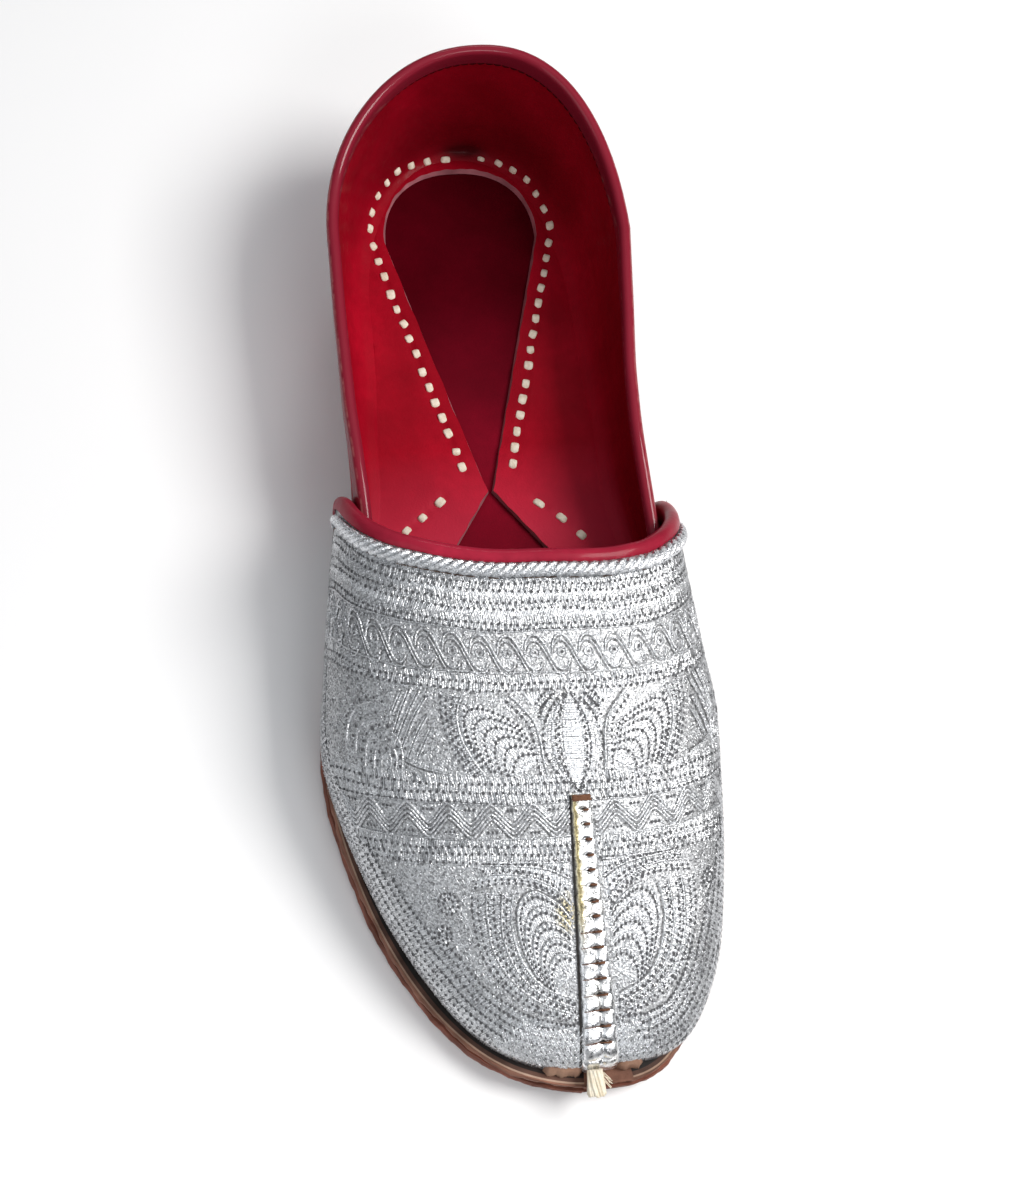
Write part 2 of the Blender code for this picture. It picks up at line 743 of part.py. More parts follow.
def main():
    for thing in list(bpy.data.objects):
        bpy.data.objects.remove(thing, do_unlink=True)
    parts = bpy.data.collections.new("jutti")
    bpy.context.scene.collection.children.link(parts)
    root = bpy.data.objects.new("jutti_root", None)
    bpy.context.scene.collection.objects.link(root)
    sole_layer("outsole", 0.0, 0.0, 0.0, OUTSOLE_THICKNESS, "sole_leather", parts, root)
    sole_layer("midsole", MIDSOLE_INSET, 0.0, MIDSOLE_LEVEL, MIDSOLE_THICKNESS, "layer_leather", parts, root)
    insets = (INSOLE_INSET, INSOLE_TOE_INSET)
    sole_layer("insole", *insets, INSOLE_LEVEL, INSOLE_THICKNESS, "bed_leather", parts, root)
    build_vamp(parts, root)
    build_quarter(parts, root)
    build_throat_binding(parts, root)
    build_throat_cord(parts, root)
    build_topline_binding(parts, root)
    build_toe_strip(parts, root)
    build_toe_tie(parts, root)
    stand_on_origin(root, parts)


main()
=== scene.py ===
"""Looks of a jutti: silver embroidery, red leather, bindings, toe strip and layered sole.

The shoe's own sizes are in millimetres: x across, +x to the inner side, station from the sole's front edge
The embroidery is charted on the vamp laid out flat: across from the axis of the pattern, along from the
throat's edge towards the toe.
"""

from math import pi, radians

import bmesh
import bpy
import numpy as np
from bpy.props import FloatProperty, FloatVectorProperty, IntProperty, PointerProperty
from bpy.types import Operator, Panel, PropertyGroup
from mathutils import Matrix
from mathutils.kdtree import KDTree


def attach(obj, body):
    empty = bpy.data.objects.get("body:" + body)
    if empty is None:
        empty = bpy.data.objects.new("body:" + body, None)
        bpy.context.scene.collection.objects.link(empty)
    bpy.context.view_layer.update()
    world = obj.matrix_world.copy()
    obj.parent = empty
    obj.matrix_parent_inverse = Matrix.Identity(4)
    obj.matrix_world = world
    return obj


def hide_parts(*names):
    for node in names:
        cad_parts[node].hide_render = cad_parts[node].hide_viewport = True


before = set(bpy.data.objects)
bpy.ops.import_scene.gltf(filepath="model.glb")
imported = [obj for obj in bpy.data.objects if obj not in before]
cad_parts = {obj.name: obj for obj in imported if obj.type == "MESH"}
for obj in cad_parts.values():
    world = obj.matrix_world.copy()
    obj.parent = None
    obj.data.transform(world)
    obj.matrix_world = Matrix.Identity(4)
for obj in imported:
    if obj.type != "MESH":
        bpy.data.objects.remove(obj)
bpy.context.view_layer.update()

bl_info = {
    "name": "Jutti looks",
    "version": (1, 0, 0),
    "blender": (4, 5, 0),
    "location": "3D View > Sidebar > Jutti",
    "description": "Dresses the packed solids of a jutti in leather, silver thread and cotton",
    "category": "Object",
}

# Scale of the shoe's millimetres, and where the front of its sole lies in the frame
MM = 0.001
SHOE_PLACE = np.array((6.398, -123.757, 0.0))

# Main sizes of the shoe
SHOE_LENGTH, BALL, HEEL = 250.0, 80.0, 200.0
TOE_SPRING, TOE_SPRING_LENGTH = 3.0, 45.0
ARCH_LIFT, ARCH_FRONT, ARCH_REAR = 1.0, 105.0, 185.0
GAP = 0.3
OUTSOLE, MIDSOLE, INSOLE = 3.6, 2.1, 1.7
VAMP_WALL, QUARTER_WALL, BINDING = 1.5, 1.2, 0.6
MIDSOLE_LEVEL = OUTSOLE + GAP
INSOLE_LEVEL = MIDSOLE_LEVEL + MIDSOLE + GAP
FLANGE_LEVEL = INSOLE_LEVEL + INSOLE + GAP
MIDSOLE_INSET, INSOLE_INSET, INSOLE_TOE_INSET, INSOLE_TOE_LENGTH = 0.6, 6.6, 6.0, 80.0
SOLE_TOE_POWERS, VAMP_TOE_POWERS, HEEL_POWER = (1.75, 2.4), (1.25, 3.1), 2.1
TOE_BLUNT = 0.3

# Vamp
VAMP_TOE, TOE_WALL, TOE_WALL_ROUND = 4.8, 3.0, 0.8
INSTEP, INSTEP_RISE, RISE_POWER = 114.0, 43.3, 0.67
TUCK_DEPTH, TUCK_LENGTH, TUCK_LEAST, TUCK_ANGLE = 3.4, 20.0, 0.001, radians(42)
WIDEST_SHARE, REAR_SKIVE, TOE_CROWDING = 0.2, 0.3, 1.3
SIDE = pi / 2
THROAT_GAP, THROAT_LEG_OUT, THROAT_LEG_IN = 0.45, 1.4, 3.0
CORD_RADIUS = 1.5
STRIP_FRONT, STRIP_REAR = 6.2, 60.0
STRIP_TOE_X, STRIP_TOP_X, STRIP_TOE_HALF, STRIP_TOP_HALF = 0.4, 1.1, 4.0, 2.2
TIE_RADIUS, TIE_X, TIE_FRONT = 1.9, -1.2, -2.4

# Quarter
HEEL_HEIGHT, HEEL_RISE_SHARE = 51.5, 0.45
TOPLINE_REAR, LOW_REAR, TOPLINE_SWING, LOW_SWING = 247.5, 250.6, 4.2, 2.0
TOPLINE_POWER, LOW_POWER = 2.18, 2.0
BULGE, FOOT_CROWDING, TOPLINE_LEG, TOPLINE_END = 1.2, 1.5, 4.0, 115.0
VEE, VEE_X, VEE_HALF_GAP, VEE_FRONT_SLOPE = 145.5, -4.2, 0.4, 0.70
DROP, DROP_REAR, DROP_X, DROP_HALF, DROP_POWER, DROP_SKEW = 220.0, 241.5, -1.6, 20.0, 2.3, 0.8

# Middles of the outlines from above: station, x of the sole, x of the vamp
CENTRE_LINES = np.array([
    (0, 2.5, 4.0), (6, -0.3, 2.6), (14, -1.9, 0.5), (28, -3.5, -1.6), (48, -5.0, -4.2), (80, -6.4, -6.4),
    (125, -4.9, -4.9), (150, -3.7, -3.7), (200, -1.9, -1.9), (250, -1.2, -1.2),
])

# Half widths behind the ball: station, sole, upper, fullness of the vamp's arch
WIDTHS = np.array([
    (65, 45.8, 45.6, 2.3), (80, 46.5, 46.4, 2.4), (100, 44.0, 44.3, 2.6), (125, 38.2, 41.2, 2.8),
    (150, 33.2, 37.4, 2.8), (175, 31.0, 34.2, 2.8), (200, 31.0, 33.5, 2.8),
])

# Rear edge of the vamp: degrees round the throat, station
THROAT_EDGE = np.array([
    (-132, 147.0), (-90, 140.0), (-72, 134.3), (-60, 128.8), (-48, 123.6), (-30, 117.6), (0, 111.2),
    (15, 110.4), (32, 112.1), (48, 116.4), (60, 120.5), (72, 125.2), (90, 133.5), (132, 145.0),
])

# Quarter ahead of the heel: station, top outer, top inner, top level, low outer, low inner
QUARTER = np.array([
    (108, -38.8, 30.3, 28.5, -43.6, 33.8), (131, -38.3, 29.9, 32.2, -40.3, 30.6),
    (146, -38.7, 29.6, 34.8, -37.6, 29.4), (160, -39.2, 30.2, 36.4, -36.6, 30.1),
    (180, -39.1, 32.4, 38.2, -34.7, 30.0), (200, -38.6, 34.6, 40.2, -33.8, 30.2),
])

# Turn-in at the foot of the quarter's wall: share of the height, turn-in
TURN_IN = np.array([(0.0, 5.6), (0.04, 3.0), (0.12, 1.1), (0.24, 0.2), (0.45, 0.0), (1.0, 0.0)])

# Axis of the embroidery, across from the vamp's ridge: along, across
PATTERN_AXIS = np.array([
    (0, 7.8), (29, 7.4), (42, 7.0), (53, 6.2), (66, 5.0), (80, 3.2), (87, 2.1), (96, 1.0), (107, -1.1),
    (114, -2.4),
])


class EmbroiderySettings(PropertyGroup):
    """Threads of the vamp."""

    hole_pitch: FloatProperty(
        name="Hole pitch", description="Distance between needle holes along a row",
        default=0.00142, min=0.0006, max=0.003, unit="LENGTH")
    thread_pitch: FloatProperty(
        name="Thread pitch", description="Distance between threads of a smooth satin row",
        default=0.00052, min=0.0003, max=0.0015, unit="LENGTH")
    rise: FloatProperty(
        name="Rise", description="How high a row of stitches stands on the cloth",
        default=0.00030, min=0.0001, max=0.001, unit="LENGTH")
    hole_radius: FloatProperty(
        name="Hole radius", description="Radius of a needle hole",
        default=0.00033, min=0.0001, max=0.0006, unit="LENGTH")
    silver: FloatVectorProperty(
        name="Silver", description="Colour of the metal thread", default=(0.82, 0.835, 0.86),
        min=0.0, max=1.0, size=3, subtype="COLOR")
    cloth: FloatVectorProperty(
        name="Cloth", description="Colour of the cloth under the thread", default=(0.34, 0.345, 0.355),
        min=0.0, max=1.0, size=3, subtype="COLOR")
    seed: IntProperty(
        name="Seed", description="Start of the random unevenness of the hand work", default=11, min=0)


class LeatherSettings(PropertyGroup):
    """Leathers of the quarter, the insole and the bindings."""

    red: FloatVectorProperty(
        name="Red", description="Red of the quarter's leather", default=(0.37, 0.003, 0.015),
        min=0.0, max=1.0, size=3, subtype="COLOR")
    deep_red: FloatVectorProperty(
        name="Deep red", description="Darker red in that leather", default=(0.22, 0.0015, 0.008),
        min=0.0, max=1.0, size=3, subtype="COLOR")
    crimson: FloatVectorProperty(
        name="Crimson", description="Colour of the bindings", default=(0.44, 0.021, 0.051),
        min=0.0, max=1.0, size=3, subtype="COLOR")
    bed: FloatVectorProperty(
        name="Bed", description="Colour of the insole", default=(0.165, 0.001, 0.0095),
        min=0.0, max=1.0, size=3, subtype="COLOR")
    cut_edge: FloatVectorProperty(
        name="Cut edge", description="Colour of the leather's raw cut edge", default=(0.33, 0.105, 0.125),
        min=0.0, max=1.0, size=3, subtype="COLOR")
    stitch_pitch: FloatProperty(
        name="Stitch pitch", description="Distance between the white stitches of the flange",
        default=0.00475, min=0.002, max=0.01, unit="LENGTH")
    cotton: FloatVectorProperty(
        name="Cotton", description="Colour of the white stitches and the tie", default=(0.78, 0.72, 0.60),
        min=0.0, max=1.0, size=3, subtype="COLOR")


class SoleSettings(PropertyGroup):
    """Layers of the sole."""

    edge: FloatVectorProperty(
        name="Edge", description="Colour of the outsole's edge", default=(0.145, 0.042, 0.023),
        min=0.0, max=1.0, size=3, subtype="COLOR")
    layer: FloatVectorProperty(
        name="Layer", description="Colour of the paler layer above it", default=(0.31, 0.135, 0.085),
        min=0.0, max=1.0, size=3, subtype="COLOR")
    roughness: FloatProperty(
        name="Edge unevenness", description="How uneven the cut edge is",
        default=0.00035, min=0.0, max=0.002, unit="LENGTH")


class StageSettings(PropertyGroup):
    """Floor, light and camera."""

    floor: FloatVectorProperty(
        name="Floor", description="Colour of the floor", default=(0.93, 0.93, 0.935),
        min=0.0, max=1.0, size=3, subtype="COLOR")
    light: FloatProperty(
        name="Light", description="Strength of all the lamps together", default=1.0, min=0.0, max=5.0)
    lens: FloatProperty(
        name="Lens", description="Focal length of the camera in millimetres",
        default=51.07, min=10.0, max=200.0)


# Paths and directions

def unit(vectors):
    """The same directions with a length of one."""
    return vectors / np.maximum(np.linalg.norm(vectors, axis=-1, keepdims=True), 1e-9)


def sideways(path):
    """Unit directions at right angles to a path in a plane."""
    run = unit(np.gradient(path, axis=0))
    return np.stack([-run[:, 1], run[:, 0]], -1)


def lengthwise(path):
    """Running length of a path."""
    return np.concatenate([[0], np.cumsum(np.linalg.norm(np.diff(path, axis=0), axis=1))])


def at_length(path, length, at):
    """Places on a path at running lengths."""
    return np.stack([np.interp(at, length, column) for column in path.T], -1)


def even(path, step):
    """The same path with points at even distances."""
    path = np.asarray(path, float)
    length = lengthwise(path)
    return at_length(path, length, np.linspace(0, length[-1], max(int(round(length[-1] / step)), 1) + 1))


def smoothed(rows, times):
    """Rows evened out with their neighbours."""
    for _ in range(times):
        rows[1:-1] = (rows[:-2] + rows[1:-1] + rows[2:]) / 3
    return rows


def hermite(u, span, start, end, start_slope, end_slope):
    """Places on a smooth curve between two knots."""
    leaving = start * (1 + 2 * u) * (1 - u) ** 2 + start_slope * span * u * (1 - u) ** 2
    return leaving + end * (3 - 2 * u) * u * u + end_slope * span * u * u * (u - 1)


def smooth_path(points, step=0.25, count=None):
    """Even points on a smooth curve through given points."""
    points = np.asarray(points, float)
    knots = lengthwise(points)
    slope = np.gradient(points, knots, axis=0)
    at = np.linspace(0, knots[-1], 8 * int(knots[-1] / step + 2))
    i = np.clip(np.searchsorted(knots, at, side="right") - 1, 0, len(points) - 2)
    span = (knots[i + 1] - knots[i])[:, None]
    u = (at - knots[i])[:, None] / span
    path = hermite(u, span, points[i], points[i + 1], slope[i], slope[i + 1])
    return even(path, lengthwise(path)[-1] / (count - 1) if count else step)


# Shape of the last

def read(rows, column, at):
    """Read a table's column on a smooth curve that never overshoots it."""
    x, y = rows[:, 0], rows[:, column]
    rise = np.diff(y) / np.diff(x)
    before, after = rise[:-1], rise[1:]
    total = np.where(before + after == 0, 1, before + after)
    inner = np.where(before * after > 0, 2 * before * after / total, 0)
    slope = np.concatenate([rise[:1], inner, rise[-1:]])
    at = np.clip(at, x[0], x[-1])
    i = np.clip(np.searchsorted(x, at, side="right") - 1, 0, len(x) - 2)
    span = x[i + 1] - x[i]
    return hermite((at - x[i]) / span, span, y[i], y[i + 1], slope[i], slope[i + 1])


def sole_centre(station):
    """Middle of the sole's outline."""
    return read(CENTRE_LINES, 1, station)


def vamp_centre(station):
    """Middle of the vamp's outline."""
    return read(CENTRE_LINES, 2, station)


def toe_round(share, powers):
    """Share of the ball's half width from the toe's tip to the ball."""
    length_power, width_power = powers
    ahead = 1 - np.clip(share, 0, 1)
    return (1 - ahead ** length_power) ** (1 / width_power)


def sole_half(station):
    """Half width of the outsole."""
    ball, heel = read(WIDTHS, 1, BALL), read(WIDTHS, 1, HEEL)
    share = np.clip((station - HEEL) / (SHOE_LENGTH - HEEL), 0, 1)
    rear = heel * np.maximum(1 - share ** HEEL_POWER, 0) ** (1 / HEEL_POWER)
    front = ball * toe_round(station / BALL, SOLE_TOE_POWERS)
    return np.where(station < BALL, front, np.where(station > HEEL, rear, read(WIDTHS, 1, station)))


def floor_lift(station):
    """Height of the outsole's underside."""
    toe = TOE_SPRING * (1 - np.clip(station, 0, TOE_SPRING_LENGTH) / TOE_SPRING_LENGTH) ** 2
    share = np.clip((station - ARCH_FRONT) / (ARCH_REAR - ARCH_FRONT), 0, 1)
    return toe + ARCH_LIFT * np.sin(pi * share) ** 2


def over_floor(plan, level):
    """Points at a level above the outsole's underside, over places in plan."""
    return np.concatenate([plan, (floor_lift(plan[..., 1]) + level)[..., None]], -1)


def upper_half(station):
    """Half width of the vamp where it is widest."""
    share = (station - VAMP_TOE + TOE_BLUNT) / (BALL - VAMP_TOE + TOE_BLUNT)
    front = read(WIDTHS, 2, BALL) * toe_round(share, VAMP_TOE_POWERS)
    return np.where(station < BALL, front, read(WIDTHS, 2, station))


def vamp_height(station):
    """Height of the vamp's ridge above its foot."""
    behind = np.maximum(station - VAMP_TOE, 0)
    wall = TOE_WALL * np.sqrt(np.minimum(behind / TOE_WALL_ROUND, 1))
    return wall + (INSTEP_RISE - TOE_WALL) * (behind / (INSTEP - VAMP_TOE)) ** RISE_POWER


def tuck_share(station):
    """How much of the turn at the vamp's foot there is."""
    return np.clip((station - VAMP_TOE) / TUCK_LENGTH, TUCK_LEAST, 1)


def throat_station(angle):
    """Station of the vamp's rear edge."""
    return read(THROAT_EDGE, 1, np.degrees(angle))


def vamp_point(station, angle, depth=0.0):
    """Points on the vamp: angle 0 on its ridge, 90 degrees where it is widest."""
    station, angle = np.broadcast_arrays(np.asarray(station, float), np.asarray(angle, float))
    share = (station - VAMP_TOE) / (INSTEP - VAMP_TOE)
    measured = station - depth * np.maximum(1 - share, 0)
    foot = floor_lift(measured) + INSOLE_LEVEL
    height = np.maximum(vamp_height(measured) - depth, 0)
    half = upper_half(measured) - depth
    tucked = tuck_share(measured)
    widest = foot + WIDEST_SHARE * tucked * height
    power = 2 / read(WIDTHS, 3, station)
    turn = np.abs(angle)
    up = np.minimum(turn, SIDE)
    below = np.maximum(turn - SIDE, 0) / (TUCK_ANGLE * tucked) * pi / 2
    drawn_in = half - TUCK_DEPTH * tucked * (1 - np.cos(below))
    across = np.where(turn <= SIDE, half * np.sin(up) ** power, drawn_in)
    arch = widest + (foot + height - widest) * np.maximum(np.cos(up), 0) ** power
    level = np.where(turn <= SIDE, arch, widest - (widest - foot) * np.sin(below))
    return np.stack([vamp_centre(station) + np.copysign(1.0, angle) * across, station, level], -1)


def vamp_over(x, station):
    """Points of the vamp's face over places in plan."""
    share = np.clip(np.abs(x - vamp_centre(station)) / upper_half(station), 0, 1)
    angle = np.arcsin(share ** (read(WIDTHS, 3, station) / 2))
    return vamp_point(station, np.copysign(angle, x - vamp_centre(station)))


def vamp_grid(rows, columns, depth=0.0):
    """The vamp's face in rows from the throat to the toe."""
    toe = VAMP_TOE + depth
    share = (1 - np.linspace(0, 1, rows)[:, None]) ** TOE_CROWDING
    spread = np.linspace(-1, 1, columns)[None, :]
    station = toe + (throat_station(spread * (SIDE + TUCK_ANGLE)) - REAR_SKIVE * depth - toe) * share
    tucked = TUCK_ANGLE * tuck_share(station - depth * (1 - share))
    return vamp_point(station, spread * (SIDE + tucked), depth)


def flange_half(station):
    """Half width of the flange's opening: a vee ahead and a drop behind."""
    front = VEE_HALF_GAP + VEE_FRONT_SLOPE * (VEE - station)
    middle = VEE_HALF_GAP + (DROP_HALF - VEE_HALF_GAP) * (station - VEE) / (DROP - VEE)
    share = np.clip((station - DROP) / (DROP_REAR - DROP), 0, 1)
    rear = DROP_HALF * (1 - share ** DROP_POWER) ** (1 / DROP_POWER)
    return np.where(station < VEE, front, np.where(station <= DROP, middle, rear))


def flange_centre(station):
    """Middle of that opening."""
    skew = DROP_SKEW * np.clip((station - DROP) / (DROP_REAR - DROP), 0, 1)
    return VEE_X + (DROP_X - VEE_X) * np.clip((station - VEE) / (DROP - VEE), 0, 1) + skew


def quarter_path(side_steps, heel_steps):
    """Places along the quarter: side, station and angle round the heel."""
    ahead = np.linspace(QUARTER[0, 0], VEE, side_steps, endpoint=False)
    behind = np.linspace(VEE, HEEL, side_steps, endpoint=False)
    sides = np.concatenate([ahead, behind])
    heel = np.linspace(0, pi, heel_steps + 1)
    side = np.concatenate([-np.ones(len(sides)), np.where(heel < pi / 2, -1, 1), np.ones(len(sides))])
    station = np.concatenate([sides, np.full(len(heel), HEEL), sides[::-1]])
    angle = np.concatenate([np.zeros(len(sides)), heel, np.zeros(len(sides))])
    return side, station, angle


def quarter_rail(places, outer, inner, rear, swing, power):
    """One rail of the quarter in plan."""
    side, station, angle = places
    left, right = read(QUARTER, outer, station), read(QUARTER, inner, station)
    middle, half = (left + right) / 2, (right - left) / 2
    turn = np.sign(np.cos(angle)) * np.abs(np.cos(angle)) ** (2 / power)
    behind = (rear - HEEL) * np.maximum(np.sin(angle), 0) ** (2 / power)
    heel = (station >= HEEL)
    x = np.where(heel, middle - half * turn + swing * np.sin(angle) ** 2, middle + side * half)
    return np.stack([x, np.where(heel, HEEL + behind, station)], -1)


def flange_edge(places):
    """Cut edge of the flange in plan."""
    side, station, angle = places
    station = np.where(station >= HEEL, HEEL + (DROP_REAR - HEEL) * np.sin(angle), station)
    return np.stack([flange_centre(station) + side * flange_half(station), station], -1)


def quarter_sheet(places, wall_steps, flange_steps):
    """Outer face of the quarter, from its top edge to the flange's edge."""
    top = quarter_rail(places, 1, 2, TOPLINE_REAR, TOPLINE_SWING, TOPLINE_POWER)
    low = quarter_rail(places, 4, 5, LOW_REAR, LOW_SWING, LOW_POWER)
    edge = flange_edge(places)
    inward = unit(edge - low)
    foot = floor_lift(low[:, 1]) + FLANGE_LEVEL
    turn = np.sin(places[2])
    level = read(QUARTER, 3, places[1])
    level = level + (HEEL_HEIGHT - level) * (HEEL_RISE_SHARE * turn + (1 - HEEL_RISE_SHARE) * turn ** 2)
    rows = []
    for height in np.linspace(1, 0, wall_steps + 1) ** FOOT_CROWDING:
        shift = read(TURN_IN, 1, height) - BULGE * np.sin(pi * height)
        plan = low + (top - low) * height + inward * shift
        rows.append(np.column_stack([plan, foot + (level - foot) * height]))
    last = rows[-1][:, :2]
    for share in np.linspace(0, 1, flange_steps + 1)[1:]:
        rows.append(over_floor(last + (edge - last) * share, FLANGE_LEVEL))
    return np.stack(rows, 1)


# Meshes from arrays

def normals(grid):
    """Unit normals of a grid of points."""
    return unit(np.cross(np.gradient(grid, axis=0), np.gradient(grid, axis=1)))


def grid_faces(rows, columns, closed=False):
    """Quads between the neighbours of a grid."""
    i = np.arange(rows - 1)[:, None] * columns
    j = np.arange(columns if closed else columns - 1)[None, :]
    k = (j + 1) % columns
    return np.stack([i + j, i + k, i + columns + k, i + columns + j], -1).reshape(-1, 4)


def joined(parts):
    """One set of points and faces from several, grouped by their corners."""
    points, groups = [], {}
    start = 0
    for body, faces in parts:
        for group in faces if isinstance(faces, list) else [faces]:
            groups.setdefault(group.shape[1], []).append(group + start)
        points.append(body)
        start += len(body)
    return np.concatenate(points), [np.concatenate(group) for group in groups.values()]


def used(points, faces):
    """The same mesh without spare points, and which points it keeps."""
    keep, index = np.unique(faces, return_inverse=True)
    return points[keep], index.reshape(faces.shape), keep


def rounds(side, up, turn):
    """Rings of offsets in the planes of two directions."""
    return side[:, None] * np.cos(turn)[None, :, None] + up[:, None] * np.sin(turn)[None, :, None]


def rim(rows, columns):
    """Indices round the edge of a grid."""
    index = np.arange(rows * columns).reshape(rows, columns)
    return np.concatenate([index[0], index[1:, -1], index[-1, -2::-1], index[-2:0:-1, 0]])


def wall(outer, inner):
    """Points, faces and kinds of faces of a closed wall between two grids."""
    rows, columns = outer.shape[:2]
    count = rows * columns
    sheet = grid_faces(rows, columns)
    edge = rim(rows, columns)
    after = np.roll(edge, -1)
    sides = np.stack([edge, after, after + count, edge + count], -1)
    faces = np.concatenate([sheet, sheet[:, ::-1] + count, sides])
    kinds = np.repeat([0, 1, 2], [len(sheet), len(sheet), len(sides)])
    return np.concatenate([outer.reshape(-1, 3), inner.reshape(-1, 3)]), faces, kinds


def loft(sections):
    """Points and faces of a closed body through closed sections."""
    rows, columns = sections.shape[:2]
    faces = grid_faces(rows, columns, closed=True)
    middles = sections[[0, -1]].mean(1)
    count = rows * columns
    ring = np.arange(columns)
    after = np.roll(ring, -1)
    first = np.stack([after, ring, np.full(columns, count)], -1)
    last = np.stack([ring, after, np.full(columns, count + 1)], -1)
    last[:, :2] += count - columns
    return np.concatenate([sections.reshape(-1, 3), middles]), [faces, first, last]


# Angle of a sharp edge, and how upright a thread runs when its rings turn to another axis
SHARP_EDGE, STEEP = radians(50), 0.9


def add_piece(name, points, faces, finishes, replaces=None, kinds=None, marks=None, threads=False):
    """Make a mesh from arrays in the shoe's millimetres and put it on the shoe."""
    groups = faces if isinstance(faces, list) else [faces]
    closed = replaces and not threads
    mesh = bpy.data.meshes.new(name)
    mesh.vertices.add(len(points))
    mesh.vertices.foreach_set("co", ((points + SHOE_PLACE) * MM).ravel())
    corners = np.concatenate([group.ravel() for group in groups])
    sizes = np.concatenate([np.full(len(group), group.shape[1]) for group in groups])
    mesh.loops.add(len(corners))
    mesh.loops.foreach_set("vertex_index", corners.astype(np.int32))
    mesh.polygons.add(len(sizes))
    mesh.polygons.foreach_set("loop_start", (np.cumsum(sizes) - sizes).astype(np.int32))
    for finish in finishes:
        mesh.materials.append(finish)
    if kinds is not None:
        mesh.polygons.foreach_set("material_index", np.asarray(kinds, np.int32))
    for mark, values in (marks or {}).items():
        layer = mesh.attributes.new(mark, "FLOAT", "POINT")
        layer.data.foreach_set("value", np.asarray(values, np.float32))
    mesh.update(calc_edges=True)
    if closed:
        body = bmesh.new()
        body.from_mesh(mesh)
        bmesh.ops.recalc_face_normals(body, faces=body.faces)
        body.to_mesh(mesh)
        body.free()
    mesh.shade_smooth()
    if closed:
        mesh.set_sharp_from_angle(angle=SHARP_EDGE)
    piece = bpy.data.objects.new(name, mesh)
    bpy.context.scene.collection.objects.link(piece)
    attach(piece, "root")
    if replaces:
        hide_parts(replaces)
    return piece


def tubes(paths, radii, sides=6):
    """Points and faces of round threads along several paths."""
    parts = []
    turn = np.linspace(0, 2 * pi, sides, endpoint=False)
    for path, radius in zip(paths, radii):
        run = unit(np.gradient(path, axis=0))
        upright = np.where(np.abs(run[:, 2:]) > STEEP, (1.0, 0, 0), (0, 0, 1.0))
        side = unit(np.cross(run, upright))
        thick = np.broadcast_to(radius, len(path))[:, None, None]
        parts.append(loft(path[:, None] + rounds(side, np.cross(side, run), turn) * thick))
    return joined(parts)


# Finishes

class Finish:
    """A material being put together from nodes."""

    def __init__(self, name, colour, roughness, metallic=0.0):
        self.material = bpy.data.materials.new(name)
        self.material.use_nodes = True
        self.tree = self.material.node_tree
        self.shader = self.tree.nodes["Principled BSDF"]
        self.set("Base Color", (*colour, 1.0))
        self.set("Roughness", roughness)
        self.set("Metallic", metallic)
        self.place = self.add("ShaderNodeTexCoord").outputs["Object"]

    def set(self, name, value):
        """Feed one of the shader's sockets with a value or another node's output."""
        self.feed(self.shader.inputs[name], value)

    def feed(self, socket, value):
        """Feed a socket with a value or another node's output."""
        if isinstance(value, bpy.types.NodeSocket):
            self.tree.links.new(value, socket)
        else:
            socket.default_value = value

    def add(self, kind, values=None, **settings):
        """Add a node with its settings and what feeds its sockets."""
        node = self.tree.nodes.new(kind)
        for name, value in settings.items():
            setattr(node, name, value)
        for name, value in (values or {}).items():
            self.feed(node.inputs[name], value)
        return node

    def stretched(self, x, y, z):
        """The surface's place with each axis scaled, for fibres and layers."""
        return self.add("ShaderNodeMapping", {"Vector": self.place, "Scale": (x, y, z)}).outputs[0]

    def noise(self, size, detail, place=None):
        """Cloudy pattern with blotches of a size in millimetres."""
        values = {"Vector": place or self.place, "Scale": 1 / (size * MM), "Detail": detail}
        return self.add("ShaderNodeTexNoise", {**values, "Roughness": 0.55}).outputs[0]

    def blots(self, size, detail, low, high, start, end):
        """Cloudy pattern mapped to a range."""
        return self.range(self.noise(size, detail), low, high, start, end)

    def cells(self, size):
        """Pebbled pattern with cells of a size in millimetres."""
        values = {"Vector": self.place, "Scale": 1 / (size * MM)}
        return self.add("ShaderNodeTexVoronoi", values).outputs["Distance"]

    def speckle(self, size):
        """A random number for each grain of a size in millimetres."""
        values = {"Vector": self.place, "Scale": 1 / (size * MM)}
        colour = self.add("ShaderNodeTexVoronoi", values).outputs["Color"]
        return self.add("ShaderNodeSeparateColor", {"Color": colour}).outputs[0]

    def range(self, value, low, high, start, end):
        """Map a value from one range to another, held at the ends."""
        values = {"Value": value, "From Min": low, "From Max": high, "To Min": start, "To Max": end}
        return self.add("ShaderNodeMapRange", values).outputs[0]

    def mix(self, factor, first, second):
        """Mix two colours."""
        node = self.add("ShaderNodeMix", data_type="RGBA")
        first = first if isinstance(first, bpy.types.NodeSocket) else (*first, 1.0)
        second = second if isinstance(second, bpy.types.NodeSocket) else (*second, 1.0)
        for index, value in ((0, factor), (6, first), (7, second)):
            self.feed(node.inputs[index], value)
        return node.outputs[2]

    def times(self, first, second):
        """One number times another."""
        node = self.add("ShaderNodeMath", operation="MULTIPLY")
        self.feed(node.inputs[0], first)
        self.feed(node.inputs[1], second)
        return node.outputs[0]

    def mark(self, name):
        """A number stored on the mesh."""
        return self.add("ShaderNodeAttribute", attribute_name=name).outputs["Fac"]

    def bump(self, height, strength, depth):
        """Raise the surface by a pattern, on top of any earlier bump."""
        values = {"Height": height, "Strength": strength, "Distance": depth * MM}
        node = self.add("ShaderNodeBump", values)
        earlier = self.shader.inputs["Normal"].links
        if earlier:
            self.feed(node.inputs["Normal"], earlier[0].from_socket)
        self.set("Normal", node.outputs[0])


# Grains of the metal thread, its name and its colour where it is gilt
GRAIN, METAL_THREAD, GILT_COLOUR = 0.37, "metal_thread", (0.62, 0.52, 0.26)


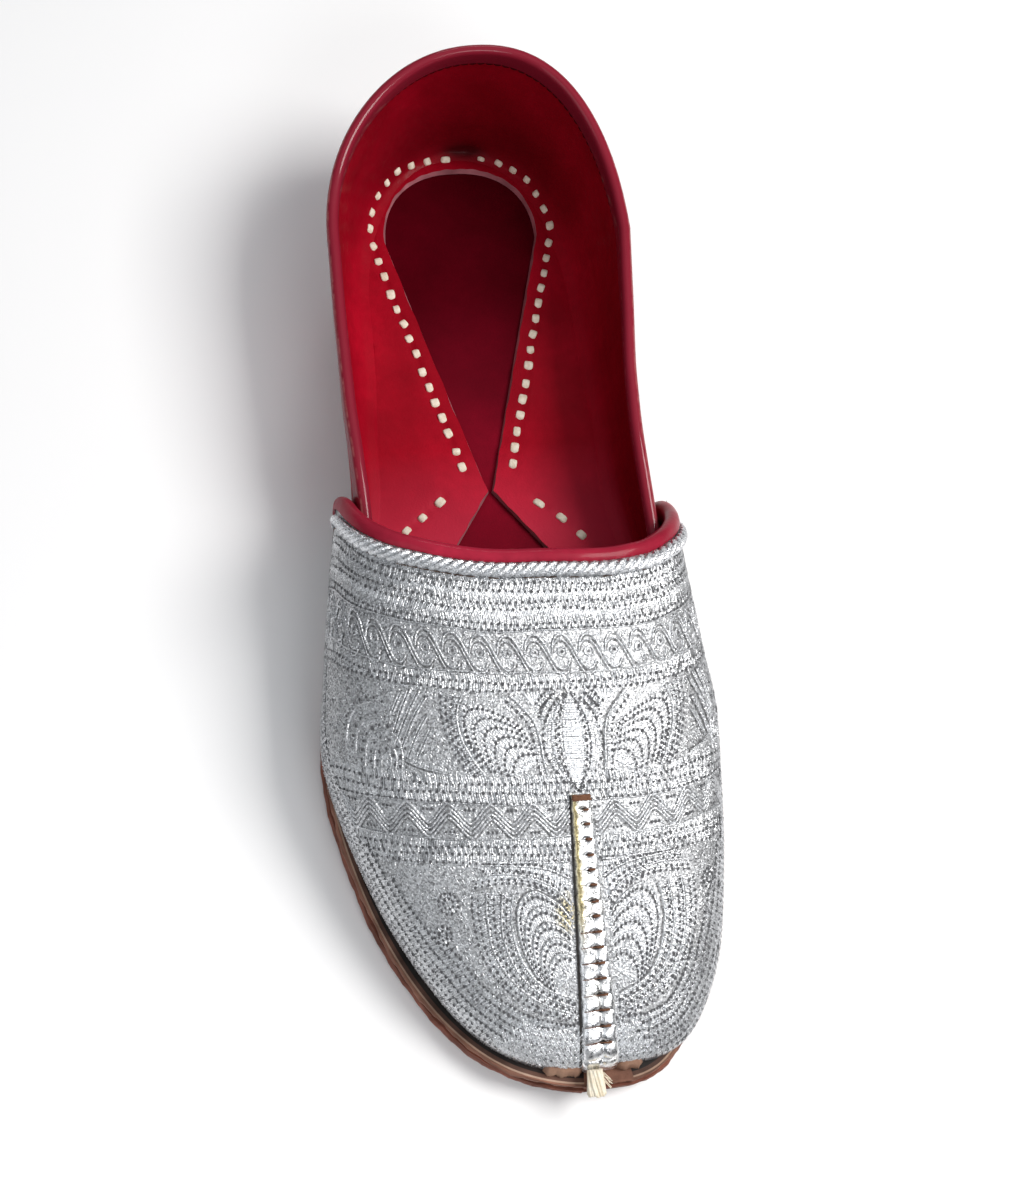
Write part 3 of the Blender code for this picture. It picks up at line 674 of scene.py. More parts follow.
def scaled(colour, share):
    """A colour made darker or lighter by a share."""
    return [share * part for part in colour]


def silver_thread(settings):
    """Metal-wrapped thread: each stitch has its own shade, with fine glints."""
    made = bpy.data.materials.get(METAL_THREAD)
    if made:
        return made
    finish = Finish(METAL_THREAD, settings.silver, 0.34, 1.0)
    dull, dark = scaled(settings.silver, 0.60), scaled(settings.silver, 0.26)
    tone = finish.mix(finish.mark("shade"), dull, settings.silver)
    tone = finish.mix(finish.blots(14.0, 3, 0.35, 0.7, 0.0, 0.3), tone, dull)
    tone = finish.mix(finish.mark("gilt"), tone, GILT_COLOUR)
    grain = finish.range(finish.speckle(GRAIN), 0.0, 0.60, 0.60, 0.0)
    finish.set("Base Color", finish.mix(finish.times(grain, finish.mark("grain")), tone, dark))
    finish.set("Roughness", finish.range(finish.speckle(1.3 * GRAIN), 0.0, 1.0, 0.22, 0.50))
    finish.bump(finish.cells(GRAIN), 0.7, 0.16)
    finish.bump(finish.noise(0.7, 2), 0.5, 0.25)
    return finish.material


def painted_shadow_thread(settings):
    """Painted shadow: dark grainy thread laid as a strip beside the raised lines."""
    finish = Finish("painted_shadow_thread", settings.cloth, 0.6, 0.5)
    finish.set("Base Color", finish.mix(finish.speckle(GRAIN), scaled(settings.cloth, 0.15), settings.cloth))
    return finish.material


def ground_cloth(settings):
    """Dull silver cloth that shows between the stitches."""
    finish = Finish("ground_cloth", settings.cloth, 0.5, 0.8)
    dark, light = scaled(settings.cloth, 0.5), scaled(settings.cloth, 2.0)
    finish.set("Base Color", finish.mix(finish.speckle(GRAIN), dark, light))
    finish.bump(finish.noise(0.35, 3), 0.6, 0.15)
    return finish.material


def dark_gap(name, dark, light):
    """Painted shade: the dark inside of a hole or a slit."""
    finish = Finish(name, dark, 0.8, 0.2)
    finish.set("Base Color", finish.mix(finish.noise(3.0, 2), dark, light))
    return finish.material


# Leather that is rubbed bare, also used for a painted highlight; and painted sheen on leather
RUBBED_AND_HIGHLIT_LEATHER, PAINTED_SHEEN_LEATHER = (0.56, 0.22, 0.20), (0.60, 0.035, 0.075)


def dyed_leather(name, colour, deep, roughness, grain, coat, shine=0.05):
    """Dyed leather with a fine grain, cloudy dye and a coat of polish, with painted shadow, painted sheen
    and painted highlight where its marks are set.
    """
    finish = Finish(name, colour, roughness)
    cloud = finish.blots(26.0, 4, 0.35, 0.68, 0.0, 1.0)
    fine = finish.blots(2.2, 4, 0.35, 0.7, 0.0, 0.35)
    tone = finish.mix(fine, finish.mix(cloud, deep, colour), deep)
    tone = finish.mix(finish.mark("shadow"), tone, scaled(deep, 0.12))
    # Painted sheen where the mark pale is set
    tone = finish.mix(finish.mark("pale"), tone, PAINTED_SHEEN_LEATHER)
    patches = finish.blots(2.6, 3, 0.38, 0.62, 0.0, 1.0)
    # Rubbed wear and a painted highlight where the mark worn is set
    rubbed_and_highlit = finish.times(finish.mark("worn"), patches)
    finish.set("Base Color", finish.mix(rubbed_and_highlit, tone, RUBBED_AND_HIGHLIT_LEATHER))
    finish.set("Roughness", finish.blots(5.0, 4, 0.3, 0.75, roughness - 0.07, roughness + 0.12))
    finish.set("Specular IOR Level", shine)
    finish.set("Coat Weight", coat)
    finish.set("Coat Roughness", 0.10)
    finish.bump(finish.cells(0.55), grain, 0.10)
    finish.bump(finish.noise(0.9, 3), grain, 0.12)
    finish.bump(finish.noise(9.0, 2), 0.35, 0.5)
    return finish.material


def raw_leather(name, colour, pale, layered):
    """Cut edge of undyed leather, with fibres along its layers."""
    finish = Finish(name, colour, 0.78)
    along = finish.noise(1.6, 4, finish.stretched(0.18, 0.18, layered))
    cloud = finish.noise(7.0, 4)
    tone = finish.mix(finish.range(along, 0.38, 0.66, 0.0, 1.0), colour, pale)
    stain = finish.range(cloud, 0.42, 0.75, 0.0, 0.8)
    finish.set("Base Color", finish.mix(stain, tone, scaled(colour, 0.45)))
    finish.set("Roughness", finish.range(cloud, 0.3, 0.7, 0.62, 0.9))
    finish.bump(along, 0.6, 0.35)
    finish.bump(finish.noise(0.5, 3), 0.4, 0.15)
    return finish.material


def foil_leather():
    """Silver foiled leather of the toe strip, creased and rubbed."""
    finish = Finish("silver_leather", (0.80, 0.81, 0.83), 0.24, 1.0)
    crease = finish.noise(1.1, 4)
    warm = finish.blots(9.0, 2, 0.5, 0.72, 0.0, 0.55)
    worn = finish.mix(warm, (0.86, 0.87, 0.89), (0.72, 0.70, 0.62))
    worn = finish.mix(finish.mark("gilt"), worn, GILT_COLOUR)
    cracks = finish.range(crease, 0.60, 0.78, 0.0, 0.6)
    finish.set("Base Color", finish.mix(cracks, worn, (0.25, 0.24, 0.23)))
    finish.set("Roughness", finish.range(crease, 0.3, 0.7, 0.16, 0.40))
    finish.bump(crease, 0.7, 0.22)
    finish.bump(finish.cells(0.5), 0.3, 0.06)
    return finish.material


def cotton_thread(name, colour, dirt):
    """Twisted cotton, soiled in places."""
    finish = Finish(name, colour, 0.85)
    soiled = [part * shade for part, shade in zip(colour, dirt)]
    finish.set("Base Color", finish.mix(finish.blots(1.3, 3, 0.4, 0.75, 0.0, 0.8), colour, soiled))
    finish.bump(finish.noise(0.25, 2), 0.6, 0.12)
    return finish.material


# Sole

def outline(stations, side):
    """Outsole's outline in plan."""
    return np.stack([sole_centre(stations) + side * sole_half(stations), stations], -1)


def sole_rows(inset, steps, columns, toe_inset=0.0):
    """Rows across a sole layer in plan, from its toe to its heel."""
    swing = (1 - np.cos(np.linspace(0, pi, steps + 1))) / 2
    stations = TOE_BLUNT + swing * (SHOE_LENGTH - 2 * TOE_BLUNT)
    ahead, behind = np.maximum(stations - 0.2, 0), np.minimum(stations + 0.2, SHOE_LENGTH)
    drawn_in = inset + toe_inset * np.maximum(1 - stations / INSOLE_TOE_LENGTH, 0)
    edges = []
    for side in (-1, 1):
        run = unit(outline(behind, side) - outline(ahead, side))
        inward = side * np.stack([-run[:, 1], run[:, 0]], -1)
        edges.append(outline(stations, side) + inward * drawn_in[:, None])
    share = np.linspace(0, 1, columns + 1)[None, :, None]
    return edges[0][:, None] * (1 - share) + edges[1][:, None] * share


# Layers of the sole: rows, columns, steps up the edge, how far the edge is rounded and its fine ripple
SOLE_STEPS, LAYER_COLUMNS, EDGE_STEPS, EDGE_ROUND, EDGE_RIPPLE = 240, 36, 5, 0.55, 0.12

# Waves of a hand cut edge: length, share of its unevenness
EDGE_WAVES = ((31, 0.5), (13, 0.4), (5.3, 0.35), (2.1, 0.2))


def sole_layer(inset, level, thickness, uneven, seed):
    """Points, faces and kinds of faces of a leather layer with a worn edge."""
    draw = np.random.default_rng(seed)
    plan = sole_rows(inset, SOLE_STEPS, LAYER_COLUMNS)
    rows, columns = plan.shape[:2]
    plan = plan.reshape(-1, 2).copy()
    edge = rim(rows, columns)
    loop = plan[edge]
    run = np.roll(loop, -1, 0) - np.roll(loop, 1, 0)
    out = unit(np.stack([-run[:, 1], run[:, 0]], -1))
    out *= np.sign(((loop - plan.mean(0)) * out).sum(1, keepdims=True))
    place = np.cumsum(np.linalg.norm(run, axis=1)) / 2
    wave = sum(np.sin(place * 2 * pi / long + draw.uniform(0, 6.3)) * share for long, share in EDGE_WAVES)
    loop = loop - out * (uneven * wave)[:, None]
    rings = []
    for share in np.linspace(0, 1, EDGE_STEPS + 1):
        ripple = np.interp(place, place[::6], draw.normal(0, EDGE_RIPPLE, len(place[::6])))
        ring = loop - out * (EDGE_ROUND * abs(2 * share - 1) ** 4 + uneven * ripple)[:, None]
        rings.append(over_floor(ring, level + thickness * share))
    plan[edge] = loop - out * EDGE_ROUND
    points = np.concatenate([over_floor(plan, level), over_floor(plan, level + thickness)] + rings[1:-1])
    size, around = len(plan), len(edge)
    between_them = [2 * size + k * around + np.arange(around) for k in range(EDGE_STEPS - 1)]
    loops = [edge] + between_them + [edge + size]
    sides = [np.stack([a, np.roll(a, -1), np.roll(b, -1), b], -1) for a, b in zip(loops, loops[1:])]
    sheet = grid_faces(rows, columns)
    faces = np.concatenate([sheet, sheet[:, ::-1] + size] + sides)
    return points, faces, np.repeat([0, 1, 2], [len(sheet), len(sheet), EDGE_STEPS * around])


# Rims on the midsole's top: from, to in from its edge; the last, beside the vamp, is painted shadow
RIM_BANDS, RIM_LIFT = ((0.6, 1.0), (1.0, 1.9), (1.9, 5.5)), 0.06

# Welt at the toe: rearmost station, from and to across, and its section: out from the vamp's foot, up
WELT_REAR, WELT_REACHES = 16.0, ((-12.0, -3.0), (4.0, 10.6))
WELT_SECTION = np.array([(-1.4, 3.3), (-0.3, 3.3), (0.6, 2.6), (1.2, 1.4), (1.4, 0.1)])

MIDSOLE_TOP = MIDSOLE_LEVEL + MIDSOLE


def sole_rims():
    """Points, faces and kinds of faces of the bands beside the vamp."""
    parts = []
    for band in RIM_BANDS:
        edges = np.stack([sole_rows(MIDSOLE_INSET + inset, SOLE_STEPS, 1) for inset in band], 2)
        for side in (0, 1):
            strip = over_floor(edges[:, side], MIDSOLE_TOP + RIM_LIFT)
            parts.append((strip.reshape(-1, 3), grid_faces(len(strip), 2)))
    points, faces = joined(parts)
    return points, faces, np.repeat(np.arange(len(RIM_BANDS)), 2 * SOLE_STEPS)


def toe_welt(draw):
    """Points and faces of the two slivers of welt beside the toe strip's end."""
    parts = []
    line = foot_line()
    line = line[line[:, 1] < WELT_REAR]
    for low, high in WELT_REACHES:
        foot = even(line[(line[:, 0] > low) & (line[:, 0] < high)], 0.3)
        out = sideways(foot)
        out *= np.sign(-out[:, 1:])
        ragged = 1 + 0.12 * np.sin(foot[:, 0] * 2.3) + draw.normal(0, 0.05, len(foot))
        ends = np.sqrt(np.clip(np.minimum(foot[:, 0] - low, high - foot[:, 0]) / 1.2, 0.05, 1))
        plan = foot[:, None] + out[:, None] * (WELT_SECTION[:, 0] * (ragged * ends)[:, None])[..., None]
        body = over_floor(plan, MIDSOLE_TOP)
        body[..., 2] += WELT_SECTION[:, 1] * ends[:, None]
        parts.append((body.reshape(-1, 3), grid_faces(*body.shape[:2])))
    return joined(parts)


class JUTTI_OT_sole(Operator):
    """Make the two leather layers of the sole and their worn edges"""

    bl_idname = "jutti.sole"
    bl_label = "Sole layers"

    def execute(self, context):
        settings = context.scene.jutti_sole
        colour, layer, uneven = settings.edge, settings.layer, settings.roughness / MM
        edge = raw_leather("sole_leather", colour, scaled(colour, 1.9), 3.0)
        under = raw_leather("sole_underside", scaled(colour, 1.25), layer, 0.4)
        points, faces, kinds = sole_layer(0.0, 0.0, OUTSOLE, uneven * 0.6, 3)
        add_piece("outsole_layer", points, faces, [under, edge, edge], "outsole", kinds)
        face = raw_leather("layer_face", scaled(layer, 0.42), layer, 0.5)
        side = raw_leather("layer_leather", scaled(layer, 0.6), layer, 2.5)
        points, faces, kinds = sole_layer(MIDSOLE_INSET, MIDSOLE_LEVEL, MIDSOLE, uneven * 0.8, 5)
        add_piece("midsole_layer", points, faces, [face, face, side], "midsole", kinds)
        pale = raw_leather("rim_pale", (0.36, 0.23, 0.16), (0.46, 0.31, 0.23), 0.5)
        brown = raw_leather("rim_brown", scaled(layer, 0.22), scaled(layer, 0.4), 0.5)
        # Painted shadow in the crevice between the midsole and the vamp
        dark = raw_leather("rim_painted_shadow", scaled(layer, 0.015), scaled(layer, 0.05), 0.5)
        points, faces, kinds = sole_rims()
        add_piece("midsole_rims", points, faces, [pale, brown, dark], kinds=kinds)
        welt = raw_leather("welt_leather", (0.26, 0.135, 0.085), (0.35, 0.21, 0.14), 0.6)
        points, faces = toe_welt(np.random.default_rng(9))
        add_piece("toe_welt", points, faces, [welt])
        return {"FINISHED"}


# Bed: stations between which painted shade darkens it towards the heel and painted sheen fades from its
# front, how far it reaches on under the flange, and the height and lengths of the waves that a foot has
# pressed into it
BED_SHADOW, BED_SPREAD = (158.0, 205.0), 1.2
BED_DISH, BED_WAVE_ACROSS, BED_WAVE_ALONG = 0.12, 6.0, 11.0


class JUTTI_OT_insole(Operator):
    """Make the leather bed that shows between the flange's halves"""

    bl_idname = "jutti.insole"
    bl_label = "Insole"

    def execute(self, context):
        settings = context.scene.jutti_leather
        bed = dyed_leather("bed_leather", settings.bed, scaled(settings.bed, 0.55), 0.60, 0.35, 0.0, 0.015)
        plan = sole_rows(INSOLE_INSET - BED_SPREAD, 200, 60, INSOLE_TOE_INSET)
        x, y = plan[..., 0], plan[..., 1]
        dish = BED_DISH * np.sin(x / BED_WAVE_ACROSS + 1.0) * np.sin(y / BED_WAVE_ALONG)
        top = over_floor(plan, INSOLE_LEVEL + INSOLE + dish)
        points, faces, _ = wall(top, over_floor(plan, INSOLE_LEVEL))
        # Painted shade towards the heel and painted sheen at the front
        marks = {"shadow": (0.0, 0.52), "pale": (0.08, 0.0)}
        marks = {name: np.tile(np.interp(y, BED_SHADOW, ends).ravel(), 2) for name, ends in marks.items()}
        add_piece("insole_bed", points, faces, [bed], "insole", marks=marks)
        return {"FINISHED"}


# Embroidery

def between(grid, i, j):
    """Values of a grid at fractional rows and columns."""
    low_i = np.clip(np.floor(i).astype(int), 0, grid.shape[0] - 2)
    low_j = np.clip(np.floor(j).astype(int), 0, grid.shape[1] - 2)
    share_i, share_j = np.clip(i - low_i, 0, 1), np.clip(j - low_j, 0, 1)
    if grid.ndim == 3:
        share_i, share_j = share_i[..., None], share_j[..., None]
    near = grid[low_i, low_j] * (1 - share_j) + grid[low_i, low_j + 1] * share_j
    far = grid[low_i + 1, low_j] * (1 - share_j) + grid[low_i + 1, low_j + 1] * share_j
    return near * (1 - share_i) + far * share_i


class Chart:
    """A part of the vamp's face laid out flat in millimetres, across and along."""

    TICKS = 601

    def __init__(self, grid, along, across):
        self.grid, self.along = grid, along
        self.normals = normals(grid)
        if self.normals[..., 2].mean() < 0:
            self.normals = -self.normals
        self.ticks = np.linspace(across.min(), across.max(), self.TICKS)
        columns = np.arange(across.shape[1])
        self.index = np.array([np.interp(self.ticks, row, columns) for row in across])
        self.ends = across[:, [0, -1]]

    def find(self, places):
        """Fractional row and column of places in the chart."""
        i = np.interp(places[..., 1], self.along, np.arange(len(self.along)))
        k = (places[..., 0] - self.ticks[0]) / (self.ticks[1] - self.ticks[0])
        return i, between(self.index, i, np.clip(k, 0, self.TICKS - 1))

    def put(self, places):
        """Points and normals on the shoe for places in the chart."""
        i, j = self.find(places)
        return between(self.grid, i, j), between(self.normals, i, j)

    def inside(self, places, margin=0.3):
        """Which places lie within the chart's own edges."""
        left = np.interp(places[..., 1], self.along, self.ends[:, 0])
        right = np.interp(places[..., 1], self.along, self.ends[:, 1])
        return (places[..., 0] > left + margin) & (places[..., 0] < right - margin)


def running_length(points):
    """Distance along each row of a grid of points."""
    steps = np.linalg.norm(np.diff(points, axis=1), axis=-1)
    return np.concatenate([np.zeros((len(steps), 1)), np.cumsum(steps, 1)], 1)


def foot_line():
    """The vamp's widest line in plan, from the outer side round the toe."""
    share = np.linspace(0, 1, 400) ** 2.4
    left = VAMP_TOE + (throat_station(-SIDE) - VAMP_TOE) * share[::-1]
    right = VAMP_TOE + (throat_station(SIDE) - VAMP_TOE) * share
    outer = np.stack([vamp_centre(left) - upper_half(left), left], -1)
    inner = np.stack([vamp_centre(right) + upper_half(right), right], -1)
    return even(np.concatenate([outer, inner]), 0.5)


def vamp_chart():
    """Chart of the whole vamp: across from the pattern's axis, along from the throat's edge."""
    grid = vamp_grid(261, 401)
    middle = grid.shape[1] // 2
    along = lengthwise(grid[:, middle])
    length = running_length(grid)
    across = length - length[:, middle:middle + 1] - read(PATTERN_AXIS, 1, along)[:, None]
    chart = Chart(grid, along, across)
    line = foot_line()
    foot = vamp_point(line[:, 1], np.copysign(SIDE, line[:, 0] - vamp_centre(line[:, 1])))[::2]
    strips = np.array_split(grid.reshape(-1, 3), 60)
    reach = [np.sqrt(((strip[:, None] - foot) ** 2).sum(-1).min(1)) for strip in strips]
    chart.hem = np.concatenate(reach).reshape(grid.shape[:2])
    return chart


# Border of the vamp: how far in it is charted, and steps of the turn below its widest line
BORDER_REACH, TUCK_STEPS = 17.0, 5


def border_chart():
    """Chart of the vamp's border: across in from its widest line, along round the toe."""
    line = foot_line()
    run = smoothed(unit(np.gradient(line, axis=0)), 6)
    inward = np.stack([run[:, 1], -run[:, 0]], -1)
    inward *= np.sign((inward * (np.array((0.0, BALL)) - line)).sum(1, keepdims=True))
    inset = BORDER_REACH * np.linspace(0, 1, 70) ** 2.2
    plan = line[:, None] + inward[:, None] * inset[None, :, None]
    face = vamp_over(plan[..., 0], np.maximum(plan[..., 1], VAMP_TOE + 0.02))
    side = np.copysign(1.0, line[:, 0] - vamp_centre(line[:, 1]))
    below = np.linspace(1, 0, TUCK_STEPS, endpoint=False)
    angle = side[:, None] * (SIDE + below[None, :] * TUCK_ANGLE * tuck_share(line[:, 1])[:, None])
    tuck = vamp_point(np.repeat(line[:, 1:2], TUCK_STEPS, 1), angle)
    grid = np.concatenate([tuck, face], 1)
    length = running_length(grid)
    along = lengthwise(line)
    chart = Chart(grid, along, length - length[:, TUCK_STEPS:TUCK_STEPS + 1])
    chart.toe = float(along[np.argmin(line[:, 1])])
    return chart


def stitches(enter, leave, width, rise, shade, grain=1.0):
    """Rows of stitches: where each enters and leaves the cloth, its width, rise, shade and grain."""
    spread = [np.broadcast_to(value, len(enter))[:, None] for value in (width, rise, shade, grain)]
    return np.concatenate([enter, leave] + spread, 1)


def ladder(first, second, pitch, rise, shade=0.8, slant=0.0, full=0.94, grain=1.0):
    """Stitches from one path to another of like count."""
    middle = (first + second) / 2
    length = lengthwise(middle)
    count = max(int(length[-1] / pitch), 1)
    at = (np.arange(count) + 0.5) * length[-1] / count
    enter, leave = at_length(first, length, at - slant / 2), at_length(second, length, at + slant / 2)
    return stitches(enter, leave, pitch * full, rise, shade, grain)


def pricks(path, pitch, shift=0.0):
    """Needle holes along a path."""
    length = lengthwise(path)
    count = max(int(length[-1] / pitch), 1)
    return at_length(path, length, (np.arange(count) + 0.5 + shift) * length[-1] / count)


def level_row(along, reach=86.0):
    """A straight path across the vamp."""
    across = np.arange(-reach, reach, 0.4)
    wobble = 0.16 * np.sin(across / 6.3 + along) + 0.10 * np.sin(across / 2.7 + 2 * along)
    return np.stack([across, along + wobble], -1)


def mirrored(path, side):
    """A path charted for the outer side, turned over for the inner side."""
    return np.asarray(path, float) * (-side, 1.0)


def drawn(path, side, count=None):
    """A smooth path through points charted for the outer side."""
    return smooth_path(mirrored(path, side), count=count)


def within(places, corners):
    """Which places lie inside a closed outline."""
    x, y = places[..., 0], places[..., 1]
    inside = np.zeros(x.shape, bool)
    for (ax, ay), (bx, by) in zip(corners, np.roll(corners, -1, 0)):
        crossing = (ay > y) != (by > y)
        reach = (bx - ax) * (y - ay) / np.where(by == ay, 1e-9, by - ay) + ax
        inside ^= crossing & (x < reach)
    return inside


# Rows straight across the vamp: start, end, kind of row, slant; and how far they overlap
HOLED, SATIN, ROW_OVERLAP = 0, 1, 0.06
CROSS_ROWS = [
    (4.3, 6.1, HOLED, 0.5), (6.1, 7.8, HOLED, -0.5), (7.8, 9.0, SATIN, 0.9), (9.0, 10.2, HOLED, 0.0),
    (10.2, 11.8, HOLED, 0.4), (11.8, 13.4, SATIN, -0.8), (13.4, 15.0, HOLED, 0.3), (15.0, 16.2, HOLED, -0.3),
    (26.4, 28.0, HOLED, 0.3), (28.0, 29.6, HOLED, -0.3),
    (48.4, 50.2, HOLED, 0.3), (50.2, 52.2, HOLED, -0.2), (52.2, 54.2, HOLED, 0.3),
    (62.4, 63.8, HOLED, -0.3), (63.8, 65.4, HOLED, 0.3), (65.4, 67.2, HOLED, -0.2),
]
THIN_LINES = (16.6, 25.9, 54.5, 62.1)

# One stroke of the scroll band, from the foot of its crest down to its hook: across from the crest, along
SCROLL_STROKE = [
    (-2.3, 20.4), (-1.9, 18.8), (-0.9, 17.7), (0.4, 17.7), (1.5, 18.8), (2.6, 20.8), (3.7, 23.0),
    (4.7, 24.6), (5.8, 25.3), (6.9, 24.8), (7.5, 23.6),
]

# Its pitch, place of one crest, how far along its eyes lie, and the shift of its second line
SCROLL_PITCH, SCROLL_SHIFT, SCROLL_EYE, SCROLL_SECOND = 6.05, -0.6, 21.5, (-0.15, 1.3)

# Zigzag band: middle, height, pitch, place of one crest, roundness of its crests and shifts of its lines
ZIGZAG_MIDDLE, ZIGZAG_HEIGHT, ZIGZAG_PITCH, ZIGZAG_CREST, ZIGZAG_ROUND = 58.3, 2.2, 9.2, -10.5, 0.45
ZIGZAG_SHIFTS = (-1.6, -0.55, 0.5, 1.55)

# Holes at its points: share of the pitch, along
ZIGZAG_HOLES = ((0.0, 60.7), (0.5, 55.9))

# Pod on the axis: its ends, and the half widths of its satin core, holes, crescent, grey band and outline
POD_ENDS = (30.2, 52.0)
POD_HALVES = (2.2, 3.9, 4.9, 5.9, 6.7)

# Fan beside the pod, on the outer side: its outermost crescent, its core and its edges
FAN_OUTER = [
    (-10.3, 38.4), (-12.9, 36.2), (-15.5, 34.7), (-18.4, 33.5), (-21.2, 33.0), (-23.2, 33.8), (-24.3, 36.0),
    (-24.3, 38.1), (-23.7, 40.7), (-22.5, 43.4), (-21.0, 46.3),
]
FAN_CORE = [
    (-7.6, 44.7), (-8.4, 44.7), (-9.3, 44.8), (-10.2, 45.0), (-10.9, 45.5), (-11.6, 46.1), (-12.1, 46.7),
    (-12.6, 47.4), (-12.9, 47.9), (-13.0, 48.4), (-12.9, 48.9),
]
FAN_BANDS, FAN_FAR_ROWS = 6, ((0.10, 0.38), (0.40, 0.68), (0.70, 0.98))
FAN_RIGHT = [
    (-13.2, 30.6), (-10.5, 33.4), (-8.5, 36.0), (-7.5, 39.3), (-7.1, 43.2), (-6.8, 46.5), (-6.4, 48.4),
]
FAN_LEFT = [
    (-23.6, 31.2), (-24.9, 34.6), (-24.9, 38.3), (-24.2, 41.3), (-22.8, 44.2), (-21.0, 47.1), (-20.0, 48.4),
]
FAN_FAR = [(-28.4, 31.0), (-28.5, 35.3), (-27.8, 39.5), (-26.5, 43.6), (-24.4, 47.2), (-23.6, 48.4)]
VEES = ([(-7.4, 33.5), (-5.8, 31.9), (-3.6, 29.9)], [(-6.5, 36.4), (-5.4, 34.0), (-3.0, 30.9)])
HEART = ([(-10.4, 30.4), (-8.6, 30.0), (-5.6, 29.9)], [(-8.6, 32.4), (-7.9, 33.0), (-7.2, 32.4)])

# Feathered leaf beyond the fan: its ribs, its lower edge, the shift of a rib's second line and the arches
# beside it
LEAF_RIBS = (
    [(-30.6, 38.6), (-32.7, 42.2), (-34.3, 45.2)], [(-31.2, 35.7), (-33.8, 39.9), (-36.4, 45.4)],
    [(-31.3, 32.0), (-33.8, 35.8), (-37.7, 43.4)], [(-32.8, 30.9), (-35.6, 35.9), (-38.8, 42.5)],
    [(-34.8, 30.7), (-38.1, 37.8), (-39.2, 40.5)], [(-36.6, 31.3), (-38.2, 34.2), (-39.3, 36.4)],
)
LEAF_LOW = [(-37.1, 45.6), (-34.6, 46.6), (-31.4, 47.4), (-28.6, 48.0)]
RIB_SECOND = (0.75, 0.225)
SIDE_ARCHES = (
    [(-41.0, 47.8), (-40.6, 46.3), (-41.1, 44.9), (-42.0, 44.8), (-42.9, 46.2), (-43.1, 47.8)],
    [(-39.8, 48.2), (-39.3, 45.7), (-40.4, 42.9), (-42.5, 42.6), (-44.2, 44.7), (-44.9, 48.2)],
    [(-38.4, 48.2), (-37.9, 45.5), (-39.0, 40.9), (-42.2, 39.9), (-45.7, 42.5), (-47.2, 48.2)],
    [(-40.8, 38.6), (-42.4, 37.6), (-45.6, 38.4), (-48.2, 41.2), (-49.6, 46.0)],
    [(-41.0, 35.4), (-43.6, 34.6), (-47.6, 36.0), (-50.8, 39.6), (-52.0, 44.0)],
)

# Mango beside the toe strip: its outermost arch and its core, and the lines that sweep round it
MANGO_OUTER = [
    (-4.4, 79.9), (-6.6, 76.8), (-9.2, 74.8), (-11.9, 73.6), (-14.3, 74.7), (-15.6, 77.2), (-15.9, 80.4),
    (-15.3, 84.7), (-14.0, 88.9), (-12.5, 92.3),
]
MANGO_CORE = [
    (-4.3, 91.4), (-4.9, 90.8), (-5.7, 90.7), (-6.6, 91.1), (-7.3, 91.7), (-8.0, 92.5), (-8.5, 93.3),
    (-8.8, 94.2), (-8.9, 95.0), (-8.8, 95.9),
]
MANGO_BANDS, SWEEP_ROWS = 5, ((0.14, 0.55), (0.55, 0.92))
WINGS = (
    [(-3.8, 67.4), (-7.5, 67.4), (-11.7, 67.2), (-15.9, 67.2), (-20.8, 67.2)],
    [(-3.8, 71.2), (-7.0, 69.4), (-10.3, 68.4), (-14.5, 68.0), (-18.7, 67.8), (-22.1, 67.8)],
    [(-4.1, 76.9), (-6.0, 74.3), (-8.6, 72.2), (-11.6, 70.8), (-15.1, 69.8), (-18.8, 69.6), (-22.7, 70.0)],
    [(-4.3, 79.3), (-6.4, 76.2), (-9.0, 74.0), (-12.2, 72.4), (-16.4, 71.8), (-20.4, 72.0), (-25.4, 73.0)],
)
MANGO_SWEEPS = (
    [(-16.4, 74.1), (-17.0, 77.2), (-17.2, 81.5), (-16.6, 85.1), (-15.6, 88.4), (-14.1, 91.4), (-11.4, 94.5),
     (-5.0, 97.6)],
    [(-18.6, 73.8), (-19.2, 78.3), (-19.3, 82.5), (-18.6, 85.9), (-17.4, 89.3), (-15.4, 92.7), (-12.2, 95.9),
     (-5.0, 99.4)],
    [(-22.0, 73.6), (-22.4, 77.5), (-22.2, 80.8), (-21.9, 84.2), (-20.7, 88.2), (-18.3, 92.4), (-13.7, 96.9),
     (-5.0, 101.2)],
    [(-25.6, 74.0), (-25.8, 78.0), (-25.4, 82.0), (-24.6, 86.0), (-22.8, 90.4), (-19.8, 94.6), (-14.6, 99.0),
     (-5.0, 103.0)],
)

# Rounds beyond the mango: across, along, radius; and shares of the radius of their core and of their ring
TOE_ROSETTES = ((-30.6, 76.0, 2.2), (-32.4, 82.8, 1.9))
ROSETTE_CORE, ROSETTE_RING = (0.18, 0.52), (0.60, 1.0)

# Widths of the couched lines
LINE_WIDTHS = {
    "sweep": 0.72, "fan": 0.70, "zigzag": 0.68, "scroll": 0.62, "rib": 0.60, "crescent": 0.55, "thin": 0.50,
    "second": 0.45, "eye": 0.42,
}


def pod_share(along):
    """Width of the pod from one end to the other, as a share of its widest."""
    share = np.clip((along - POD_ENDS[0]) / (POD_ENDS[1] - POD_ENDS[0]), 0, 1)
    return (4 * share * (1 - share)) ** 0.85


def ring(middle, radius, count):
    """A round path in the chart."""
    turn = np.linspace(0, 2 * pi, count)
    return np.asarray(middle) + radius * np.stack([np.cos(turn), np.sin(turn)], -1)


def rosette(across, along, radius, side):
    """A small round of satin with a ring of holes."""
    middle = mirrored((across, along), side)
    core = [ring(middle, radius * share, 60) for share in ROSETTE_CORE]
    outer = [ring(middle, radius * share, 60) for share in ROSETTE_RING]
    sewn = [ladder(*core, 0.6, 0.30, 0.95), ladder(*outer, 0.7, 0.34, 0.85)]
    return sewn, [pricks(core[1], 1.0), pricks(outer[1], 1.15)]


